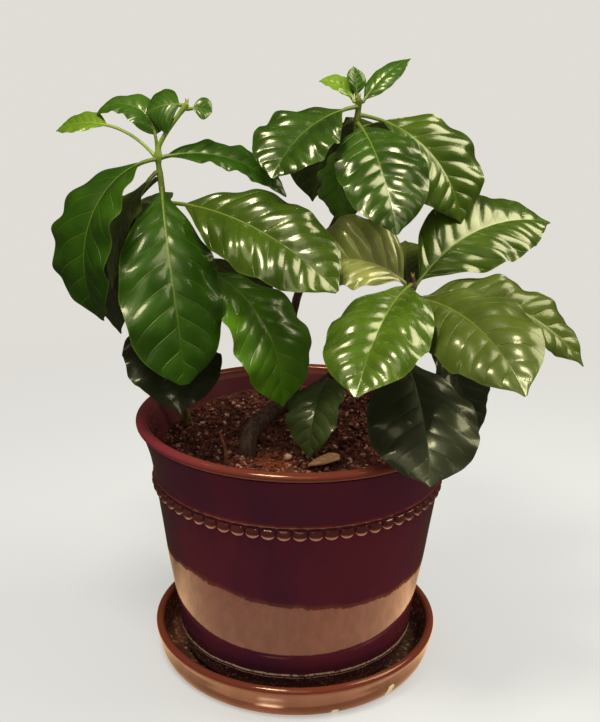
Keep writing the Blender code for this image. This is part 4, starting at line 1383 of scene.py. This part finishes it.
@dataclass
class Litter:
    """The dry stalk, the pale bark chip and the lump of white grit on the soil."""

    stalk: tuple[Place, ...] = ((-44.5, -22, 122), (-44.5, -22, 142), (-46, -21.5, 149), (-48, -22, 157))
    stalk_radius: float = 1.1
    chip_start: tuple[float, float] = (7.0, -37.0)
    chip_end: tuple[float, float] = (25.0, -20.0)
    chip_width: float = 11.0
    chip_crown: float = 0.7
    chip_grain: float = 0.35
    grit: Place = (-5.8, -21.0, 141.0)
    grit_radius: float = 2.3
    wood: DryFinish = DryFinish(tone(196, 128, 100), tone(132, 74, 58))
    pale: DryFinish = DryFinish(tone(255, 206, 172), tone(222, 158, 124))
    white: DryFinish = DryFinish(tone(240, 214, 208), tone(206, 168, 162))

    # The chip's two edges, as shares along it and shares of its width.
    CHIP_EDGES = (((0.0, -0.02), (0.35, -0.42), (0.85, -0.55), (1.0, -0.2)),
                  ((0.0, 0.02), (0.4, 0.4), (0.93, 0.5), (1.0, 0.1)))

    def build(self) -> None:
        """Make the three pieces."""
        self._stalk()
        self._chip()
        self._grit()

    def _stalk(self) -> None:
        """Make the dry stalk, thinner to its top and a little knotty."""
        draft = Draft()
        points = smooth_route(self.stalk, 8)
        share = np.linspace(0, 1, len(points))
        radii = self.stalk_radius * (1 - 0.25 * share + 0.08 * np.sin(21 * share))
        draft.add_tube(points, radii, 12)
        draft.piece("dry_stalk", [self.wood.material("stalk_wood", (1, 1, 0.12))], ["dry_twig"])

    def _chip(self) -> None:
        """Make the bark chip, as high as the CAD chip, crowned and rough."""
        low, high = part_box("bark_chip")
        low, high = np.array(low) / MM, np.array(high) / MM
        rows, columns = 22, 12
        draft = Draft()
        u = np.linspace(0, 1, rows + 1)
        left, right = (np.interp(u, *zip(*edge)) for edge in self.CHIP_EDGES)
        start, end = np.array(self.chip_start), np.array(self.chip_end)
        length = np.linalg.norm(end - start)
        along = (end - start) / length
        across = np.array([-along[1], along[0]])
        sides = []
        for lift, sign in ((high[2], 1), (low[2], -1)):
            grid = []
            for i, share in enumerate(u):
                for c in range(columns + 1):
                    v = left[i] + (right[i] - left[i]) * c / columns
                    spot = start + along * length * share + across * self.chip_width * v
                    crown = math.sin(math.pi * c / columns)
                    grain = noise.noise(Vector((share * 3, c * 1.7, 0.5 * sign)))
                    worn = self.chip_crown * (1 - crown) + self.chip_grain * grain
                    height = lift - (worn if sign > 0 else 0.0)
                    grid.append((spot[0], spot[1], height))
            sides.append(draft.add_points(np.array(grid)))
        wide = columns + 1
        grid = [(r * wide + c, (r + 1) * wide + c, (r + 1) * wide + c + 1, r * wide + c + 1)
                for r in range(rows) for c in range(columns)]
        top, base = sides
        draft.add_faces([tuple(top + i for i in quad) for quad in grid])
        draft.add_faces([tuple(base + i for i in quad[::-1]) for quad in grid])
        border = [r * wide for r in range(rows + 1)] + [rows * wide + c for c in range(1, wide)]
        border += [r * wide + columns for r in range(rows - 1, -1, -1)] + list(range(columns - 1, 0, -1))
        draft.add_faces([(top + a, base + a, base + b, top + b)
                         for a, b in zip(border, border[1:] + border[:1])])
        draft.piece("bark_piece", [self.pale.material("chip_wood", (0.3, 0.3, 1))],
                    ["bark_chip"])

    def _grit(self) -> None:
        """Make the white lump."""
        draft = Draft()
        share = np.linspace(0.06, 0.94, 9) * math.pi
        middle = np.array(self.grit) + np.stack([-self.grit_radius * np.cos(share), 0.3 * np.sin(3 * share),
                                                 0.2 * np.cos(2 * share)], axis=1)
        draft.add_tube(middle, self.grit_radius * np.sin(share) * (1 + 0.12 * np.cos(5 * share)), 14)
        draft.piece("white_grit", [self.white.material("white_grit")])


@dataclass(frozen=True)
class Lamp:
    """A soft square lamp: its place and width in millimetres, and its power.

    One that is shine_only makes highlights and lights nothing else.
    """

    name: str
    at: Place
    size: float
    power: float
    shine_only: bool = False


@dataclass(frozen=True)
class Sky:
    """The surroundings as one kind of ray meets them."""

    color: Color
    strength: float


@dataclass
class Studio:
    """Pale floor, soft lights, the bright disc that the glazes mirror, and the camera.

    The disc reaches disc_near round the pot's axis at a dimmer near_share, then disc_radius
    round disc_middle, then disc_edge more. It darkens to the left between left_fade's places
    and to the back between back_fade's. The glint is a small bright spot on it, glint_radius
    from the axis. The sky is pale to the camera, lights gives what it adds to the light and
    mirrored what the glazes show of it.
    """

    camera_at: Place = (0.9, -600.1, 384.2)
    elevation: float = 17.32
    roll: float = 0.8
    lens: float = 49.86
    sensor: float = 36.0
    aim: Place = (0.0, 0.0, 240.0)
    warm: Color = (1.0, 0.93, 0.55)
    disc_radius: float = 154.0
    disc_middle: tuple[float, float] = (-10.0, 5.0)
    disc_edge: float = 5.0
    disc_near: float = 97.0
    near_share: float = 0.42
    left_fade: tuple[float, float] = (-40.0, -120.0)
    back_fade: tuple[float, float] = (0.0, 60.0)
    disc_glow: Color = (2.7, 1.55, 0.84)
    edge_glow: Color = (0.50, 0.24, 0.03)
    bounce: Color = (0.7, 0.6, 0.42)
    glint: Color = (14.0, 11.0, 7.0)
    glint_radius: float = 96.8
    glint_x: float = -17.0
    pale: Color = tone(224, 221, 214)
    paint: Color = (0.34, 0.37, 0.55)
    floor_at: float = -0.3
    disc_at: float = -0.6
    bounce_at: float = -0.7
    dark: Color = (0.0, 0.0, 0.0)
    floor_radius: float = 8000.0
    floor_fade: tuple[float, float] = (250.0, 950.0)
    lamps: tuple[Lamp, ...] = (
        Lamp("key", (-195, -300, 1045), 230, 6.3),
        Lamp("side", (640, 40, 860), 520, 6.0),
        Lamp("sheen", (-60, -740, 910), 520, 1.3, True),
    )
    lights: Sky = Sky((1.0, 0.93, 0.66), 0.5)
    mirrored: Sky = Sky((1.0, 0.92, 0.5), 0.04)

    MOTTLE = (0.78, 0.88, 0.76)
    EDGE_SEED = 7

    def build(self) -> None:
        """Make the whole studio."""
        self._floor()
        near = tuple(self.near_share * c for c in self.disc_glow)
        glows = (near, self.disc_glow, self.edge_glow)
        self._disc("mirrored_disc", self.disc_at, glows, glossy=True)
        self._disc("bounce_disc", self.bounce_at, (self.bounce,) * 3, glossy=False)
        self._sky()
        for lamp in self.lamps:
            self._lamp(lamp)
        self._camera()

    def _floor(self) -> None:
        """Make the wide pale floor, lit near the pot and even with the backdrop far off."""
        mesh = bpy.data.meshes.new("floor")
        sides, wide = 96, self.floor_radius * MM
        points = [(wide * math.cos(a), wide * math.sin(a), 0.0)
                  for a in (2 * math.pi * s / sides for s in range(sides))]
        mesh.from_pydata(points, [], [tuple(range(sides))])
        sheet = Sheet("floor_paint")
        far = sheet.from_axis().rise(*(c * MM for c in self.floor_fade))
        paint = sheet.blend(far, self.paint, self.dark)
        glow = sheet.blend(far, tuple(0.55 * c for c in self.pale), self.pale)
        mesh.materials.append(sheet.close({"Base Color": paint, "Roughness": 1.0, "Specular IOR Level": 0.0,
                                           "Emission Color": glow, "Emission Strength": 1.0}))
        floor = bpy.data.objects.new("floor", mesh)
        floor.location.z = self.floor_at * MM
        bpy.context.scene.collection.objects.link(floor)
        floor.visible_glossy = False
        floor.visible_diffuse = False
        floor.visible_shadow = False

    def _disc(self, name: str, height: float, glows: Sequence[Color], glossy: bool) -> None:
        """Make a bright round disc under the pot that the camera doesn't see.

        Args:
            name: Its name.
            height: How high it lies.
            glows: The light that it gives near the pot, further out and at its edge.
            glossy: Whether it is for the glazes to mirror, and not to light things from below.
        """
        rng = np.random.default_rng(self.EDGE_SEED)
        sides = 360
        angle = np.arange(sides) * 2 * math.pi / sides
        steps = np.repeat(rng.normal(0, 1.0, sides // 8), 8) + rng.normal(0, 0.35, sides)
        radius = self.disc_radius + steps
        across, back = self.disc_middle
        rings = [np.stack([x + r * np.cos(angle), y + r * np.sin(angle), np.full(sides, height)], axis=1)
                 for x, y, r in ((0.0, 0.0, self.disc_near), (across, back, radius),
                                 (across, back, radius + self.disc_edge))]
        mesh = bpy.data.meshes.new(name)
        bands = [(r * sides + s, r * sides + (s + 1) % sides, (r + 1) * sides + (s + 1) % sides,
                  (r + 1) * sides + s) for r in range(2) for s in range(sides)]
        mesh.from_pydata(np.concatenate(rings) * MM, [], [tuple(range(sides)), *bands])
        for slot, glow in enumerate(glows):
            mesh.materials.append(self._glowing(f"{name}_{slot}", glow))
        mesh.polygons.foreach_set("material_index", [0] + [1] * sides + [2] * sides)
        disc = bpy.data.objects.new(name, mesh)
        bpy.context.scene.collection.objects.link(disc)
        disc.visible_camera = False
        disc.visible_diffuse = not glossy
        disc.visible_glossy = glossy
        disc.visible_shadow = False

    def _glowing(self, name: str, glow: Color) -> bpy.types.Material:
        """Return one of a disc's glows: mottled, darker to the left and the back, with the glint."""
        sheet = Sheet(name)
        x, y = (sheet.along_axis(axis) * (1 / MM) for axis in "XY")
        mottle = sheet.cloud(75, 4, 0.6).rise(0.35, 0.65)
        color = sheet.blend(mottle, tuple(a * b for a, b in zip(glow, self.MOTTLE)), glow)
        color = sheet.blend(x.rise(*self.left_fade) * 0.24, color, self.dark)
        color = sheet.blend(y.rise(*self.back_fade) * 0.7, color, self.dark)
        radius = sheet.from_axis() * (1 / MM)
        spot = radius.band(self.glint_radius, 0.4, 1.1) * x.band(self.glint_x, 2.0, 10.0)
        color = sheet.blend(spot * y.rise(0.0, -20.0), color, self.glint)
        lit = sheet.add("ShaderNodeEmission", sockets={"Color": color, "Strength": 1.0})
        sheet.add("ShaderNodeOutputMaterial", sockets={"Surface": sheet.shade(lit)})
        return sheet.material

    def _sky(self) -> None:
        """Make the surroundings: pale to the eye, dim as a light and nearly dark in a mirror."""
        world = bpy.data.worlds.new("studio")
        bpy.context.scene.world = world
        world.use_nodes = True
        nodes, links = world.node_tree.nodes, world.node_tree.links
        nodes.clear()
        skies = {}
        for name, sky in (("seen", Sky(self.pale, 1.0)), ("lights", self.lights),
                          ("mirrored", self.mirrored)):
            skies[name] = nodes.new("ShaderNodeBackground")
            skies[name].inputs["Color"].default_value = (*sky.color, 1.0)
            skies[name].inputs["Strength"].default_value = sky.strength
        ray = nodes.new("ShaderNodeLightPath")
        dull = nodes.new("ShaderNodeMixShader")
        mix = nodes.new("ShaderNodeMixShader")
        out = nodes.new("ShaderNodeOutputWorld")
        links.new(ray.outputs["Is Glossy Ray"], dull.inputs[0])
        links.new(skies["lights"].outputs[0], dull.inputs[1])
        links.new(skies["mirrored"].outputs[0], dull.inputs[2])
        links.new(ray.outputs["Is Camera Ray"], mix.inputs[0])
        links.new(dull.outputs[0], mix.inputs[1])
        links.new(skies["seen"].outputs[0], mix.inputs[2])
        links.new(mix.outputs[0], out.inputs[0])

    def _lamp(self, lamp: Lamp) -> None:
        """Add a lamp that faces the plant's middle."""
        data = bpy.data.lights.new(lamp.name, "AREA")
        data.size = lamp.size * MM
        data.energy = lamp.power
        data.color = self.warm
        obj = bpy.data.objects.new(lamp.name, data)
        obj.location = Vector(lamp.at) * MM
        obj.rotation_euler = (Vector(self.aim) * MM - obj.location).to_track_quat("-Z", "Y").to_euler()
        obj.visible_diffuse = not lamp.shine_only
        bpy.context.scene.collection.objects.link(obj)

    def _camera(self) -> None:
        """Add the camera at the photograph's place and tilt."""
        down, roll = math.radians(self.elevation), math.radians(self.roll)
        forward = Vector((0, math.cos(down), -math.sin(down)))
        level, above = Vector((1, 0, 0)), Vector((0, math.sin(down), math.cos(down)))
        right = math.cos(roll) * level + math.sin(roll) * above
        up = math.cos(roll) * above - math.sin(roll) * level
        data = bpy.data.cameras.new("camera")
        data.lens = self.lens
        data.sensor_width = self.sensor
        data.clip_start = 0.01
        camera = bpy.data.objects.new("camera", data)
        turn = Matrix((right, up, -forward)).transposed().to_4x4()
        camera.matrix_world = Matrix.Translation(Vector(self.camera_at) * MM) @ turn
        bpy.context.scene.collection.objects.link(camera)
        bpy.context.scene.camera = camera


def main() -> None:
    """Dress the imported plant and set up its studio."""
    logging.basicConfig(level=logging.INFO, format="%(message)s")
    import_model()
    bpy.context.scene.view_settings.view_transform = "Standard"
    Studio().build()
    Saucer().build()
    Pot().build()
    Earth().build()
    Litter().build()
    Stems().build()
    Crown().build()


if __name__ == "__main__":
    main()
